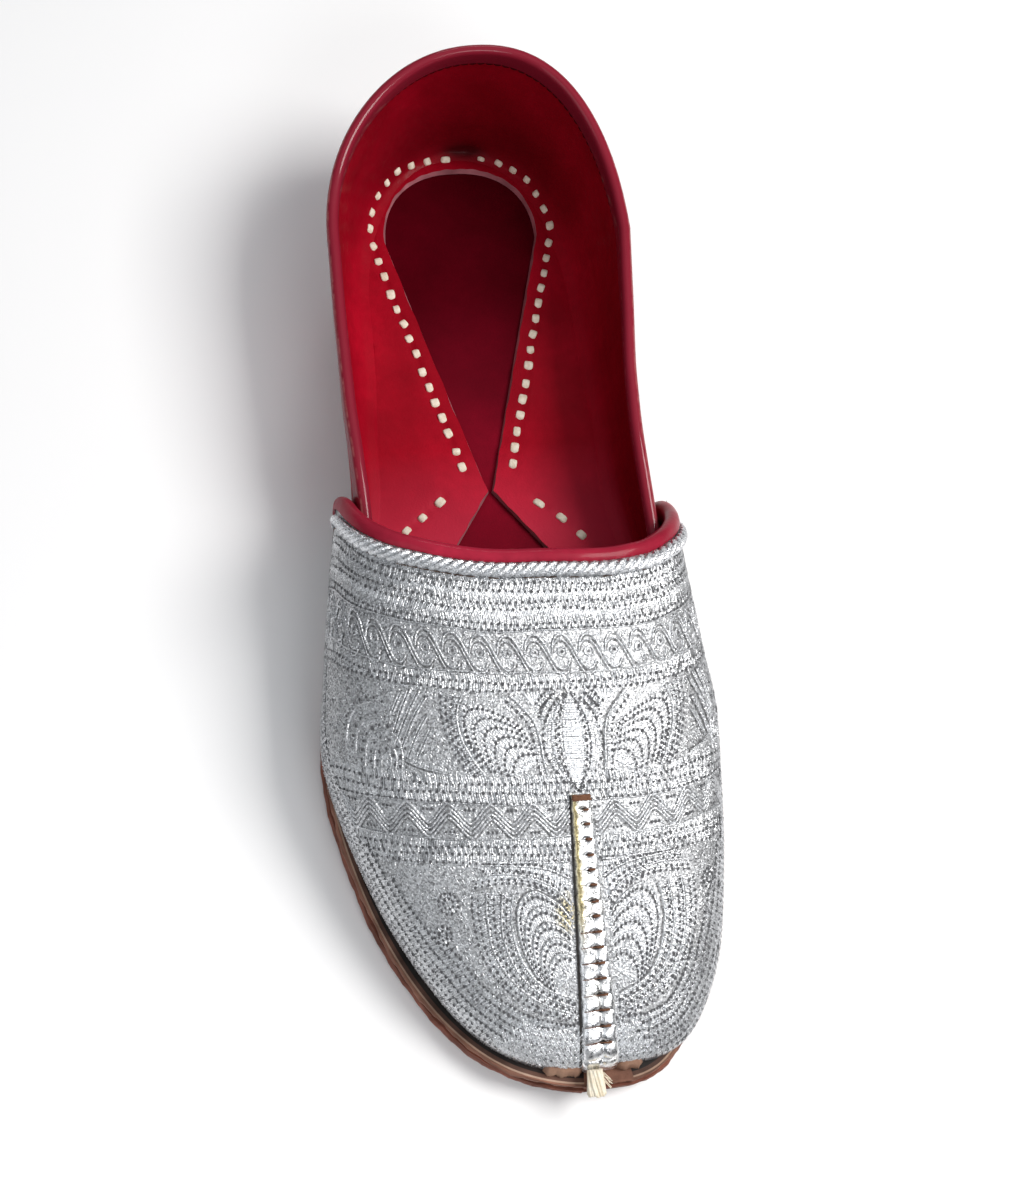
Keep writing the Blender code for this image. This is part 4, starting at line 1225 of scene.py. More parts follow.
class Sampler:
    """The stitches and needle holes gathered while the pattern is charted."""

    def __init__(self, settings):
        self.hole, self.thread = settings.hole_pitch / MM, settings.thread_pitch / MM
        self.rise = settings.rise / MM
        self.bands, self.field, self.holes, self.lines, self.painted_shadows = [], [], [], [], []
        self.rows = 0

    def holed(self, first, second, slant=0.0, shade=0.8, into=None):
        """A row of padded stitches with needle holes along its far side."""
        into = self.field if into is None else into
        into.append(ladder(first, second, self.thread, self.rise * 0.8, shade, slant, 1.0))
        self.rows += 1
        self.holes.append(pricks(second, self.hole, 0.5 * (self.rows % 2)))

    def rows_between(self, first, second, shares, slant=0.2, shade=0.9):
        """Rows of padded stitches between two given paths."""
        first, second = smooth_path(first, count=140), smooth_path(second, count=140)
        for start, end in shares:
            paths = [first * (1 - share) + second * share for share in (start, end)]
            self.holed(*paths, slant, shade)

    def satin(self, first, second, slant=0.0, shade=0.9, rise=1.0, grain=0.6, into=None):
        """A smooth row of close threads."""
        into = self.field if into is None else into
        into.append(ladder(first, second, self.thread, self.rise * rise, shade, slant, 1.05, grain))

    def line(self, path, kind, shade=1.0, painted_shadow=True):
        """A raised line of couched cord, with a strip of painted shadow along one side."""
        width = LINE_WIDTHS[kind]
        self.lines.append((path, width, shade))
        if painted_shadow:
            # Painted shadow: a dark strip where the raised line's shade falls
            self.painted_shadows.append(path + sideways(path) * (width / 2 + 0.1))

    def nest(self, outer, core, bands, corded=False):
        """Nested crescents between an outer arch and a core: bright edges, holes and flat satin."""
        outer, core = smooth_path(outer, count=160), smooth_path(core, count=160)
        pitch = self.hole * 0.8
        for band in range(bands):
            shares = (band + np.array((0.02, 0.26, 0.42, 1.0))) / bands
            edge, hole, start, end = [outer * (1 - share) + core * share for share in shares]
            self.field.append(ladder(edge, hole, pitch, self.rise * 1.3, 1.0, 0.1, 0.72, 0.5))
            self.satin(start, end, shade=0.26, rise=0.55, grain=0.25)
            self.holes.append(pricks((hole + start) / 2, pitch, 0.5))
            if corded:
                self.line(edge, "crescent")
        heart = np.broadcast_to(core[-1] * 0.25 + core[0] * 0.75, core.shape)
        self.satin(core, heart, shade=1.0)


def chart_bands(sampler):
    """Straight rows, the scroll band and the zigzag band."""
    for start, end, kind, slant in CROSS_ROWS:
        first, second = level_row(start - ROW_OVERLAP), level_row(end + ROW_OVERLAP)
        if kind == SATIN:
            sampler.satin(first, second, slant, 0.75, into=sampler.bands)
        else:
            sampler.holed(first, second, slant, 0.42, into=sampler.bands)
    for along in THIN_LINES:
        sampler.line(level_row(along), "thin", 0.85, painted_shadow=False)
    for count in range(-13, 14):
        crest = count * SCROLL_PITCH + SCROLL_SHIFT
        stroke = smooth_path(np.array(SCROLL_STROKE) + (crest, 0.0))
        sampler.line(stroke, "scroll")
        sampler.line(stroke + SCROLL_SECOND, "second")
        eye = (crest - 0.1, SCROLL_EYE)
        sampler.line(ring(eye, 1.0, 50), "eye", 0.9, painted_shadow=False)
        sampler.holes.append(np.array([eye]))
    across = np.arange(-75, 75, 0.3)
    wave = np.cos((across - ZIGZAG_CREST) * 2 * pi / ZIGZAG_PITCH)
    sharp = ZIGZAG_ROUND * wave + (1 - ZIGZAG_ROUND) * np.arcsin(wave) * 2 / pi
    for shift in ZIGZAG_SHIFTS:
        sampler.line(np.stack([across, ZIGZAG_MIDDLE - ZIGZAG_HEIGHT * sharp + shift], -1), "zigzag")
    for count in range(-8, 9):
        middle = ZIGZAG_CREST + count * ZIGZAG_PITCH
        for shift, along in ZIGZAG_HOLES:
            places = [(middle + shift * ZIGZAG_PITCH + aside, along) for aside in (-0.9, 0.0, 0.9)]
            sampler.holes.append(np.array(places))


def chart_pod(sampler, side):
    """One half of the pod on the axis, from its core out."""
    along = np.linspace(*POD_ENDS, 120)

    def pod_line(half):
        return np.stack([side * half * pod_share(along), along], -1)

    core, holes, crescent, grey, outside = POD_HALVES
    middle = (core + holes) / 2
    sampler.holed(pod_line(core + 0.1), pod_line(middle))
    sampler.holed(pod_line(middle), pod_line(holes))
    sampler.satin(pod_line(holes + 0.1), pod_line(crescent), slant=0.2, shade=1.0, rise=1.5)
    sampler.satin(pod_line(crescent + 0.1), pod_line(grey), shade=0.5, rise=0.6)
    sampler.holed(pod_line(grey), pod_line(outside))


def chart_fan(sampler, side):
    """The fan beside the pod, with its edges, its vees and its heart."""
    outer, core, right, left, far = [
        mirrored(path, side) for path in (FAN_OUTER, FAN_CORE, FAN_RIGHT, FAN_LEFT, FAN_FAR)]
    sampler.nest(outer, core, FAN_BANDS)
    for path in (right, left):
        sampler.line(smooth_path(path), "fan")
    for path, turn in ((right, -side), (left, side)):
        edge = smooth_path(path)
        out = sideways(edge) * turn
        sampler.holed(edge + out * 0.5, edge + out * 1.5)
    sampler.rows_between(left, far, FAN_FAR_ROWS)
    for path in VEES:
        curve = drawn(path, side)
        out = sideways(curve)
        first, second = curve - out * 0.5, curve + out * 0.5
        sampler.field.append(ladder(first, second, 0.6, sampler.rise * 1.2, 1.0, 0.3, 1.0))
        sampler.holes += [pricks(curve + out * shift, 1.0) for shift in (-0.8, 0.8)]
    top, tip = [drawn(path, side, 30) for path in HEART]
    sampler.satin(top, tip, shade=1.0, rise=1.3)


def chart_leaf(sampler, side):
    """The feathered leaf beyond the fan and the arches beside it."""
    for path in LEAF_RIBS:
        rib = drawn(path, side)
        sampler.line(rib, "rib")
        sampler.line(rib + np.array(RIB_SECOND) * (side, 1.0), "second", painted_shadow=False)
    for path in SIDE_ARCHES:
        arch = drawn(path, side)
        sampler.line(arch, "second", 0.75, painted_shadow=False)
        sampler.holes.append(pricks(arch + sideways(arch) * 0.9, 1.4 * sampler.hole))
    low = drawn(LEAF_LOW, side)
    out = sideways(low)
    sampler.satin(low - out * 0.9, low, shade=0.5, rise=0.6)
    sampler.line(low + out * 0.3, "rib")


def chart_mango(sampler, side):
    """The mango beside the toe strip, its wings, sweeps and rosettes."""
    sampler.nest(mirrored(MANGO_OUTER, side), mirrored(MANGO_CORE, side), MANGO_BANDS, corded=True)
    for curves in (WINGS, MANGO_SWEEPS):
        curves = [mirrored(path, side) for path in curves]
        for first, second in zip(curves, curves[1:]):
            sampler.rows_between(first, second, SWEEP_ROWS)
            sampler.line(smooth_path(first), "sweep")
    for place in TOE_ROSETTES:
        sewn, holes = rosette(*place, side)
        sampler.field += sewn
        sampler.holes += holes


def chart_field(sampler):
    """Pod, fans and leaves behind, and mangoes, wings and rosettes round the toe strip."""
    along = np.linspace(*POD_ENDS, 120)
    half = POD_HALVES[0] * pod_share(along)
    left, right = [np.stack([edge, along], -1) for edge in (-half, half)]
    sampler.satin(left, right, shade=1.0, rise=1.5, grain=0.2)
    for side in (-1, 1):
        for motif in (chart_pod, chart_fan, chart_leaf, chart_mango):
            motif(sampler, side)


def middles(rows):
    """Middles of stitches in the chart."""
    return (rows[:, :2] + rows[:, 2:4]) / 2


# Ground between the motifs: from, to along the chart, stitches for each square millimetre
GROUND = ((16.4, 26.2, 3.4), (29.4, 48.6, 3.0), (54.3, 62.4, 3.2), (67.0, 118.0, 3.0))
GROUND_REACH = 80.0
# Clearance of the ground from the lines and the motifs, and width and lift over the cloth of the painted
# shadow strips
LINE_CLEAR, MOTIF_CLEAR, PAINTED_SHADOW_WIDTH, PAINTED_SHADOW_LIFT = 0.40, 0.34, 0.38, 0.14


def ground_stitches(draw, rise):
    """Short stitches that lie every way between the motifs."""
    sewn = []
    for start, end, density in GROUND:
        count = int((end - start) * 2 * GROUND_REACH * density)
        across = draw.uniform(-GROUND_REACH, GROUND_REACH, count)
        middle = np.stack([across, draw.uniform(start, end, count)], -1)
        turn = draw.uniform(0, pi, count)
        half = draw.uniform(0.38, 0.62, count)[:, None] * np.stack([np.cos(turn), np.sin(turn)], -1)
        sewn.append(stitches(middle - half, middle + half, 0.36, rise * 0.6, draw.uniform(0.15, 0.8, count)))
    return np.concatenate(sewn)


def clear_of(places, taken, distance):
    """Which places keep a distance from all the places taken."""
    tree = KDTree(len(taken))
    for index, (across, along) in enumerate(taken):
        tree.insert((across, along, 0.0), index)
    tree.balance()
    return np.array([tree.find((across, along, 0.0))[2] > distance for across, along in places])


# Sections of a stitch: place along it, height and width there
LONG_STITCH = np.array([
    (-1.0, 0.88, 1.0), (-0.6, 1.0, 1.0), (0.0, 1.0, 1.0), (0.6, 1.0, 1.0), (1.0, 0.88, 1.0),
])
SHORT_STITCH = np.array([(-1.0, -0.2, 0.5), (0.0, 1.0, 1.0), (1.0, -0.2, 0.5)])
ACROSS_STITCH = np.array((-1.0, 0.0, 1.0))
STITCH_CROWN = np.array((0.35, 1.0, 0.35))
STITCH_TILT = 0.36

# Patch of gilt stitches beside the toe strip: across, along, half width, half length; and its strength
GILT_PATCH, GILT_SHARE = np.array((-5.0, 79.0, 2.3, 4.2)), 0.8

# Unevenness of the stitches: of their ends, width, rise and shade
END_SPREAD, WIDTH_SPREAD, RISE_SPREAD, SHADE_SPREAD = 0.045, 0.07, 0.12, 0.18


def sew(chart, rows, draw, sections=LONG_STITCH):
    """Points, faces and marks of domed threads for rows of stitches."""
    count = len(rows)
    places, arch, taper = sections.T
    ends = rows[:, :4] + draw.normal(0, END_SPREAD, (count, 4))
    share = (places + 1)[None, :, None] / 2
    points, up = chart.put(ends[:, None, :2] * (1 - share) + ends[:, None, 2:4] * share)
    run = unit(points[:, -1] - points[:, 0])
    side = unit(np.cross(up, run[:, None]))
    width = rows[:, 4] * draw.normal(1, WIDTH_SPREAD, count) / 2
    rise = rows[:, 5] * draw.normal(1, RISE_SPREAD, count)
    tilt = draw.normal(0, STITCH_TILT, count) * rows[:, 7]
    crown = STITCH_CROWN + tilt[:, None] * ACROSS_STITCH
    lift = rise[:, None, None] * arch[None, :, None] * crown[:, None, :]
    out = width[:, None, None] * taper[None, :, None] * ACROSS_STITCH[None, None, :]
    body = points[:, :, None] + up[:, :, None] * lift[..., None] + side[:, :, None] * out[..., None]
    along, across = len(places), len(ACROSS_STITCH)
    faces = grid_faces(along, across)[None] + (np.arange(count) * along * across)[:, None, None]
    shade = np.clip(rows[:, 6] * draw.normal(1, SHADE_SPREAD, count), 0, 1)
    away = (middles(rows) - GILT_PATCH[:2]) / GILT_PATCH[2:]
    gilt = GILT_SHARE * np.exp(-(away ** 2).sum(1) ** 2)
    marks = {"shade": shade, "grain": rows[:, 7], "gilt": gilt}
    marks = {name: np.repeat(mark, along * across) for name, mark in marks.items()}
    return body.reshape(-1, 3), faces.reshape(-1, 4), marks


def kept_quads(chart, path, columns):
    """Quads along a path in the chart, where the field is sewn."""
    keep = field_keep(chart, path)
    quads = grid_faces(len(path), columns).reshape(len(path) - 1, columns - 1, 4)
    return quads[keep[1:] & keep[:-1]].reshape(-1, 4)


# Couched cord: height over its width, step along it and length of one turn of its twist
CORD_ACROSS = np.array((-1.0, -0.6, 0.0, 0.6, 1.0))
CORD_CROWN = np.array((-0.05, 0.78, 1.0, 0.78, -0.05))
CORD_STEP, CORD_TURN, CORD_TWIST = 0.3, 0.95, 0.30


def couch(chart, lines, rise, draw):
    """Points, faces and shades of twisted cords couched along lines in the chart, with painted highlight and
    shade along the twist.
    """
    parts, shades = [], []
    count = len(CORD_ACROSS)
    for path, width, shade in lines:
        path = even(path, CORD_STEP)
        turn = lengthwise(path) / CORD_TURN * 2 * pi + draw.uniform(0, 2 * pi)
        reach = width / 2 * draw.normal(1, 0.06, len(path))
        places = path[:, None] + sideways(path)[:, None] * (reach[:, None] * CORD_ACROSS)[..., None]
        face, up = chart.put(places)
        twist = CORD_TWIST * np.sin(turn)[:, None] * CORD_ACROSS[None, :] * (CORD_CROWN > 0)
        body = face + up * (rise * (CORD_CROWN + twist) * (0.8 + width * 0.3))[..., None]
        parts.append((body.reshape(-1, 3), kept_quads(chart, path, count)))
        # Painted highlight and shade: each turn of the twist is lighter then darker in colour
        shades.append(np.repeat(np.clip(shade * (0.68 + 0.32 * np.cos(turn)), 0, 1), count))
    points, faces = joined(parts)
    points, faces, keep = used(points, faces[0])
    return points, faces, np.concatenate(shades)[keep]


def score(chart, lines):
    """Points and faces of thin dark strips of painted shadow along lines in the chart."""
    parts = []
    for path in lines:
        path = even(path, CORD_STEP)
        out = sideways(path) * PAINTED_SHADOW_WIDTH / 2
        face, up = chart.put(np.stack([path - out, path + out], 1))
        parts.append(((face + up * PAINTED_SHADOW_LIFT).reshape(-1, 3), kept_quads(chart, path, 2)))
    points, faces = joined(parts)
    return used(points, faces[0])[:2]


# Needle holes, drawn as dark rounds of painted shade: corners, height over the cloth, shape as shares of
# their radius across and along, unevenness
HOLE_SIDES, HOLE_LIFT, HOLE_WIDE, HOLE_LONG, HOLE_SPREAD = 6, 0.36, 0.85, 1.15, 0.15


def dark_rounds(points, up, wide, long, sides):
    """Points and faces of flat rounds that lie on a surface."""
    side = unit(np.cross(up, (0.0, 1.0, 0.0)))
    turn = np.linspace(0, 2 * pi, sides, endpoint=False)
    body = points[:, None] + rounds(side * wide, np.cross(up, side) * long, turn)
    return body.reshape(-1, 3), np.arange(len(points) * sides).reshape(-1, sides)


def needle_holes(chart, places, radius, draw):
    """Points and faces of small dark rounds of painted shade at needle holes."""
    points, up = chart.put(places)
    size = radius * draw.normal(1, HOLE_SPREAD, len(points))[:, None]
    return dark_rounds(points + up * HOLE_LIFT, up, size * HOLE_WIDE, size * HOLE_LONG, HOLE_SIDES)


# Edge of the field in from the widest line: places along the chart, and how far in it lies there
FIELD_LEVELS, FIELD_EDGES = (22.0, 44.0, 78.0, 92.0), (0.0, 8.2, 8.2, 13.4)

# Rows round the border: start and end in from the widest line, reach to each side of the toe
BORDER_ROWS = (
    (-0.7, 0.9, 200.0), (1.0, 2.7, 200.0), (2.8, 4.5, 200.0), (4.6, 6.3, 200.0), (6.4, 8.1, 200.0),
    (8.2, 9.9, 72.0), (10.0, 11.7, 62.0), (11.8, 13.4, 46.0),
)

# Long satin over the toe: its ends in from the widest line, rows, reach to each side, how much shorter each
# row is, lean and pitch of its threads, and how ragged the rows beside it end
TOE_SATIN, TOE_SATIN_ROWS, TOE_SATIN_REACH, TOE_SATIN_STEP = (2.8, 11.7), 4, 19.0, 1.5
TOE_SATIN_LEAN, TOE_SATIN_PITCH, TOE_SATIN_RAGGED = 1.3, 0.56, 1.6


def strip_place(share):
    """Middle and half width of the toe strip at shares of its length."""
    middle = STRIP_TOE_X + (STRIP_TOP_X - STRIP_TOE_X) * share
    return middle, STRIP_TOE_HALF + (STRIP_TOP_HALF - STRIP_TOE_HALF) * share


def field_keep(chart, rows):
    """Which stitches or places lie inside the border and beside the toe strip."""
    places = middles(rows) if rows.shape[1] > 2 else rows
    i, j = chart.find(places)
    edge = np.interp(places[:, 1], FIELD_LEVELS, FIELD_EDGES)
    points = between(chart.grid, i, j)
    middle, half = strip_place(np.clip((points[:, 1] - STRIP_FRONT) / (STRIP_REAR - STRIP_FRONT), 0, 1))
    strip = (np.abs(points[:, 0] - middle) < half + 0.1) & (points[:, 1] < STRIP_REAR)
    return chart.inside(places) & (between(chart.hem, i, j) > edge) & ~strip & (places[:, 1] > 0.5)


def ground_keep(places):
    """Which places lie clear of the filled motifs."""
    clear = np.abs(places[:, 0]) > POD_HALVES[-1] * pod_share(places[:, 1])
    leaf = [rib[0] for rib in LEAF_RIBS] + [rib[-1] for rib in LEAF_RIBS[::-1]]
    for corners in (FAN_OUTER + FAN_CORE[::-1], MANGO_OUTER + MANGO_CORE[::-1], leaf):
        for side in (-1, 1):
            clear &= ~within(places, mirrored(corners, side))
    return clear


def border_stitches(chart, sampler, draw):
    """Rows round the border and the long satin over the toe, with their holes."""
    sewn, holes = [], []
    length = chart.along[-1]
    for start, end, reach in BORDER_ROWS:
        run = np.arange(max(1.0, chart.toe - reach), min(length - 1.0, chart.toe + reach), 0.4)
        wobble = 0.14 * np.sin(run / 5.1 + start) + 0.08 * np.sin(run / 2.3)
        first, second = [np.stack([level + wobble, run], -1) for level in (start, end)]
        sewn.append(ladder(first, second, sampler.thread, sampler.rise * 0.8, 0.85, 0.5, 1.0))
        holes.append(pricks(second, sampler.hole, 0.5))
    rows = np.concatenate(sewn)
    across, along = middles(rows).T
    ragged = draw.normal(0, TOE_SATIN_RAGGED, len(rows))
    toe = np.abs(along - chart.toe) + ragged < TOE_SATIN_REACH - 2.0 - 0.65 * across
    sewn = [rows[~toe | (across < TOE_SATIN[0]) | (across > TOE_SATIN[1])]]
    levels = np.linspace(*TOE_SATIN, TOE_SATIN_ROWS + 1)
    for count, (start, end) in enumerate(zip(levels, levels[1:])):
        reach = TOE_SATIN_REACH - TOE_SATIN_STEP * count
        run = np.arange(chart.toe - reach, chart.toe + reach, 0.3)
        lean = np.sign(run - chart.toe) * TOE_SATIN_LEAN
        first = np.stack([start - 0.25 + 0.2 * np.sin(run / 2.1), run - lean], -1)
        second = np.stack([end + 0.35 + 0.2 * np.sin(run / 1.7), run + lean], -1)
        sewn.append(ladder(first, second, TOE_SATIN_PITCH, sampler.rise * 1.6, 1.0, 0.0, 1.0, 0.8))
    return np.concatenate(sewn), np.concatenate(holes)


class JUTTI_OT_vamp(Operator):
    """Make the vamp's cloth wall and its lining"""

    bl_idname = "jutti.vamp"
    bl_label = "Vamp"

    def execute(self, context):
        cloth = ground_cloth(context.scene.jutti_embroidery)
        leather = context.scene.jutti_leather
        lining = dyed_leather("vamp_lining", leather.red, leather.deep_red, 0.5, 0.3, 0.0)
        points, faces, kinds = wall(vamp_grid(150, 181), vamp_grid(150, 181, VAMP_WALL))
        add_piece("vamp_cloth", points, faces, [cloth, lining, cloth], "vamp", kinds)
        return {"FINISHED"}


class JUTTI_OT_embroidery(Operator):
    """Sew the silver embroidery on the vamp, stitch by stitch"""

    bl_idname = "jutti.embroidery"
    bl_label = "Embroidery"

    def execute(self, context):
        settings = context.scene.jutti_embroidery
        draw = np.random.default_rng(settings.seed)
        thread, painted_shadow = silver_thread(settings), painted_shadow_thread(settings)
        # The needle holes' darkness is painted shade
        hole = dark_gap("needle_hole", (0.035, 0.036, 0.04), (0.16, 0.16, 0.17))
        chart, border = vamp_chart(), border_chart()
        sampler = Sampler(settings)
        chart_bands(sampler)
        chart_field(sampler)
        motifs = np.concatenate(sampler.field)
        ground = ground_stitches(draw, sampler.rise)
        ground = ground[field_keep(chart, ground)]
        places = middles(ground)
        sewn = np.concatenate([motifs[:, :2], middles(motifs), motifs[:, 2:4]])
        lines = np.concatenate([path for path, _, _ in sampler.lines])
        clear = clear_of(places, sewn, MOTIF_CLEAR) & clear_of(places, lines, LINE_CLEAR)
        rear, toe = np.array_split(ground[ground_keep(places) & clear], 2)
        edge_rows, edge_holes = border_stitches(border, sampler, draw)
        groups = {
            "embroidery_bands": (chart, np.concatenate(sampler.bands), LONG_STITCH),
            "embroidery_motifs": (chart, motifs, LONG_STITCH),
            "embroidery_ground_rear": (chart, rear, SHORT_STITCH),
            "embroidery_ground_toe": (chart, toe, SHORT_STITCH),
            "embroidery_border": (border, edge_rows, LONG_STITCH),
        }
        for name, (place, rows, sections) in groups.items():
            rows = rows[field_keep(chart, rows)] if place is chart else rows
            points, faces, marks = sew(place, rows, draw, sections)
            add_piece(name, points, faces, [thread], marks=marks)
        # Painted shadow beside the raised lines
        points, faces = score(chart, sampler.painted_shadows)
        add_piece("embroidery_painted_shadows", points, faces, [painted_shadow])
        points, faces, shade = couch(chart, sampler.lines, sampler.rise * 1.3, draw)
        marks = {"shade": shade, "grain": np.ones(len(points))}
        add_piece("embroidery_lines", points, faces, [thread], marks=marks)
        holes = np.concatenate(sampler.holes)
        spread = ((chart, holes[field_keep(chart, holes)]), (border, edge_holes))
        points, faces = joined([needle_holes(*group, settings.hole_radius / MM, draw) for group in spread])
        add_piece("needle_holes", points, faces, [hole])
        return {"FINISHED"}


# Quarter

# Soft creases of the quarter's leather: x, station and z of both ends, depth, half width
CREASES = [
    ((-35.0, 150.0, 20.0), (-30.0, 141.0, 10.0), 0.45, 3.0),
    ((-34.0, 172.0, 24.0), (-33.0, 158.0, 14.0), 0.40, 3.5),
    ((31.0, 178.0, 22.0), (29.0, 150.0, 16.0), 0.45, 4.0),
    ((26.0, 238.0, 30.0), (32.0, 214.0, 22.0), 0.50, 4.5),
    ((-28.0, 240.0, 28.0), (-34.0, 216.0, 20.0), 0.45, 4.5),
    ((6.0, 248.0, 26.0), (-8.0, 248.0, 22.0), 0.40, 4.0),
    ((8.0, 246.6, 11.5), (1.0, 247.6, 12.5), 0.80, 1.3),
    ((4.5, 246.8, 9.6), (-3.0, 247.4, 11.0), 0.70, 1.2),
    ((2.0, 248.4, 16.0), (4.0, 246.6, 9.6), 0.55, 1.2),
]


def crease_depth(points):
    """How far the soft creases push the leather in."""
    depth = np.zeros(points.shape[:-1])
    for start, end, deep, half in CREASES:
        start, end = np.array(start), np.array(end)
        run = end - start
        share = np.clip(((points - start) @ run) / (run @ run), 0, 1)
        away = np.linalg.norm(points - (start + share[..., None] * run), axis=-1)
        depth += deep * np.exp(-(away / half) ** 2) * (0.4 + 0.6 * np.sin(pi * np.clip(share, 0.05, 0.95)))
    return depth


# White stitches: distance in from the flange's edge, length, width, height and how far down their ends lie
STITCH_INSET, STITCH_LONG, STITCH_WIDE, STITCH_HIGH, STITCH_SUNK = 3.9, 2.8, 2.0, 0.42, 0.34

# Front end of the row of white stitches, and the short rows ahead of it: x, station
STITCH_FRONT = 151.5
FRONT_ROWS = (
    ((-17.1, 143.9), (-21.8, 140.0), (-26.2, 136.4)),
    ((7.5, 141.1), (12.6, 136.6), (16.9, 131.6)),
)

# Painted shadow of the pucker over the rear stitches: x, station, z, half length, half height
PUCKER_SHADOW = (2.6, 247.2, 10.2, 6.5, 2.6)

# Dips at the stitches' ends: depth, reach; sway of the flange: height, lowest; how much the creases show
DIP_DEPTH, DIP_REACH, SWAY, SWAY_LOWEST, CREASE_SHARE = 0.38, 1.15, 0.22, -0.1, 0.6

# Bevel of the cut edge, and how it widens to the rear and to the inner side
EDGE_BEVEL, REAR_BEVEL, SIDE_BEVEL = 0.32, ((205.0, 232.0), (0.0, 0.22)), ((0.0, 14.0), (0.0, 0.2))

# Shadow in the hollow of the heel: its height, and its strength to the rear and to the inner side
HOLLOW_HIGH, REAR_SHADOW, SIDE_SHADOW = 19.0, ((215, 245), (0.0, 0.66)), ((8, 28), (0.0, 0.22))

# Painted sheen on the flange's upward faces towards its front: stations and strength
PAINTED_SHEEN_FRONT = ((134.0, 158.0), (0.58, 0.0))

# Rows of the quarter's wall and of its flange
WALL_STEPS, FLANGE_STEPS = 40, 46


def flange_stitch_line(pitch):
    """Middles and directions of the white stitches round the flange's drop, in plan."""
    behind = DROP + (DROP_REAR - DROP) * np.sin(np.linspace(0, pi / 2, 80))
    station = np.concatenate([np.linspace(STITCH_FRONT, DROP, 200), behind])
    left, right = [
        np.stack([flange_centre(station) + side * flange_half(station), station], -1) for side in (-1, 1)]
    path = even(np.concatenate([left, right[::-1]]), 0.4)
    run = unit(smoothed(unit(np.gradient(path, axis=0)), 12))
    path = even(path + np.stack([-run[:, 1], run[:, 0]], -1) * STITCH_INSET, 0.4)
    places = pricks(path, pitch)
    ahead = pricks(path + np.gradient(path, axis=0), pitch) - places
    keep = np.arange(len(places)) != len(places) // 2
    fronts = [np.array(front) for front in FRONT_ROWS]
    ahead = np.concatenate([ahead[keep]] + [np.gradient(front, axis=0) for front in fronts])
    return np.concatenate([places[keep]] + fronts), unit(ahead)


def white_stitches(places, ahead, leather, facing, draw):
    """Short fat cotton stitches lying on the leather."""
    parts = []
    along = np.linspace(-1, 1, 9)
    turn = np.linspace(0, 2 * pi, 12, endpoint=False)
    across, high = [np.sign(wave) * np.abs(wave) ** 0.55 for wave in (np.cos(turn), np.sin(turn))]
    body = np.maximum(1 - np.abs(along) ** 5.0, 0.02) ** 0.5
    arch = 0.48 * (1 - along ** 2) - STITCH_SUNK
    for (x, y), (dx, dy) in zip(places, ahead):
        small = np.interp(y, (200.0, 240.0), (1.0, 0.88))
        long, wide = [small * size / 2 * draw.normal(1, 0.08) for size in (STITCH_LONG, STITCH_WIDE)]
        swing = draw.normal(0, 0.12)
        turned = dx * np.cos(swing) - dy * np.sin(swing), dx * np.sin(swing) + dy * np.cos(swing)
        run = np.array((*turned, 0.0))
        nearest = np.argmin(np.hypot(leather[:, 0] - x, leather[:, 1] - y))
        up = facing[nearest]
        run = unit(run - up * (run @ up))
        spine = leather[nearest] + run * (along * long)[:, None] + up * arch[:, None]
        section = np.cross(up, run) * (across * wide)[:, None] + up * (high * STITCH_HIGH)[:, None]
        parts.append(loft(spine[:, None] + section * body[:, None, None]))
    return joined(parts)


def quarter_inside(outer, up, flat, stitch_ends):
    """The quarter's inner face, creased, dipped at its stitches and bevelled."""
    dips = np.zeros(outer.shape[:2])
    for x, y in stitch_ends:
        dips += DIP_DEPTH * np.exp(-(np.hypot(outer[..., 0] - x, outer[..., 1] - y) / DIP_REACH) ** 2)
    sway = np.maximum(SWAY * np.sin(outer[..., 1] / 5.3 + outer[..., 0] / 9.0) * flat, SWAY_LOWEST)
    inner = outer + up * (QUARTER_WALL + sway - dips * flat - crease_depth(outer) * CREASE_SHARE)[..., None]
    x, y = inner[:, -1, 0], inner[:, -1, 1]
    ragged = 0.10 * np.sin(x * 1.7) + 0.08 * np.sin(x * 0.9 + y * 0.8)
    bevel = EDGE_BEVEL + np.interp(y, *REAR_BEVEL) + np.interp(x, *SIDE_BEVEL) + ragged
    back = unit(inner[:, -2] - inner[:, -1]) * bevel[:, None]
    inner[:, WALL_STEPS:] += back[:, None] * np.linspace(0, 1, FLANGE_STEPS + 1)[None, :, None]
    return inner


def quarter_marks(inner, flat):
    """Painted shadow in the quarter's hollow and painted sheen at its front."""
    x, y, z = np.moveaxis(inner, -1, 0)
    low = np.exp(-((z - FLANGE_LEVEL - 1.0) / HOLLOW_HIGH) ** 2) * (1 - flat)
    shadow = low * (np.interp(y, *REAR_SHADOW) + np.interp(x, *SIDE_SHADOW))
    # Painted shadow in the pucker's fold
    middle_x, middle_y, middle_z, half_long, half_high = PUCKER_SHADOW
    tuck = ((x - middle_x) / half_long) ** 2 + ((y - middle_y) ** 2 + (z - middle_z) ** 2) / half_high ** 2
    marks = {
        "shadow": np.clip(shadow + 0.75 * np.exp(-tuck), 0, 0.9),
        # Painted sheen on the upward faces towards the front
        "pale": np.interp(y, *PAINTED_SHEEN_FRONT) * flat ** 2,
    }
    return {name: np.concatenate([np.zeros(mark.size), mark.ravel()]) for name, mark in marks.items()}


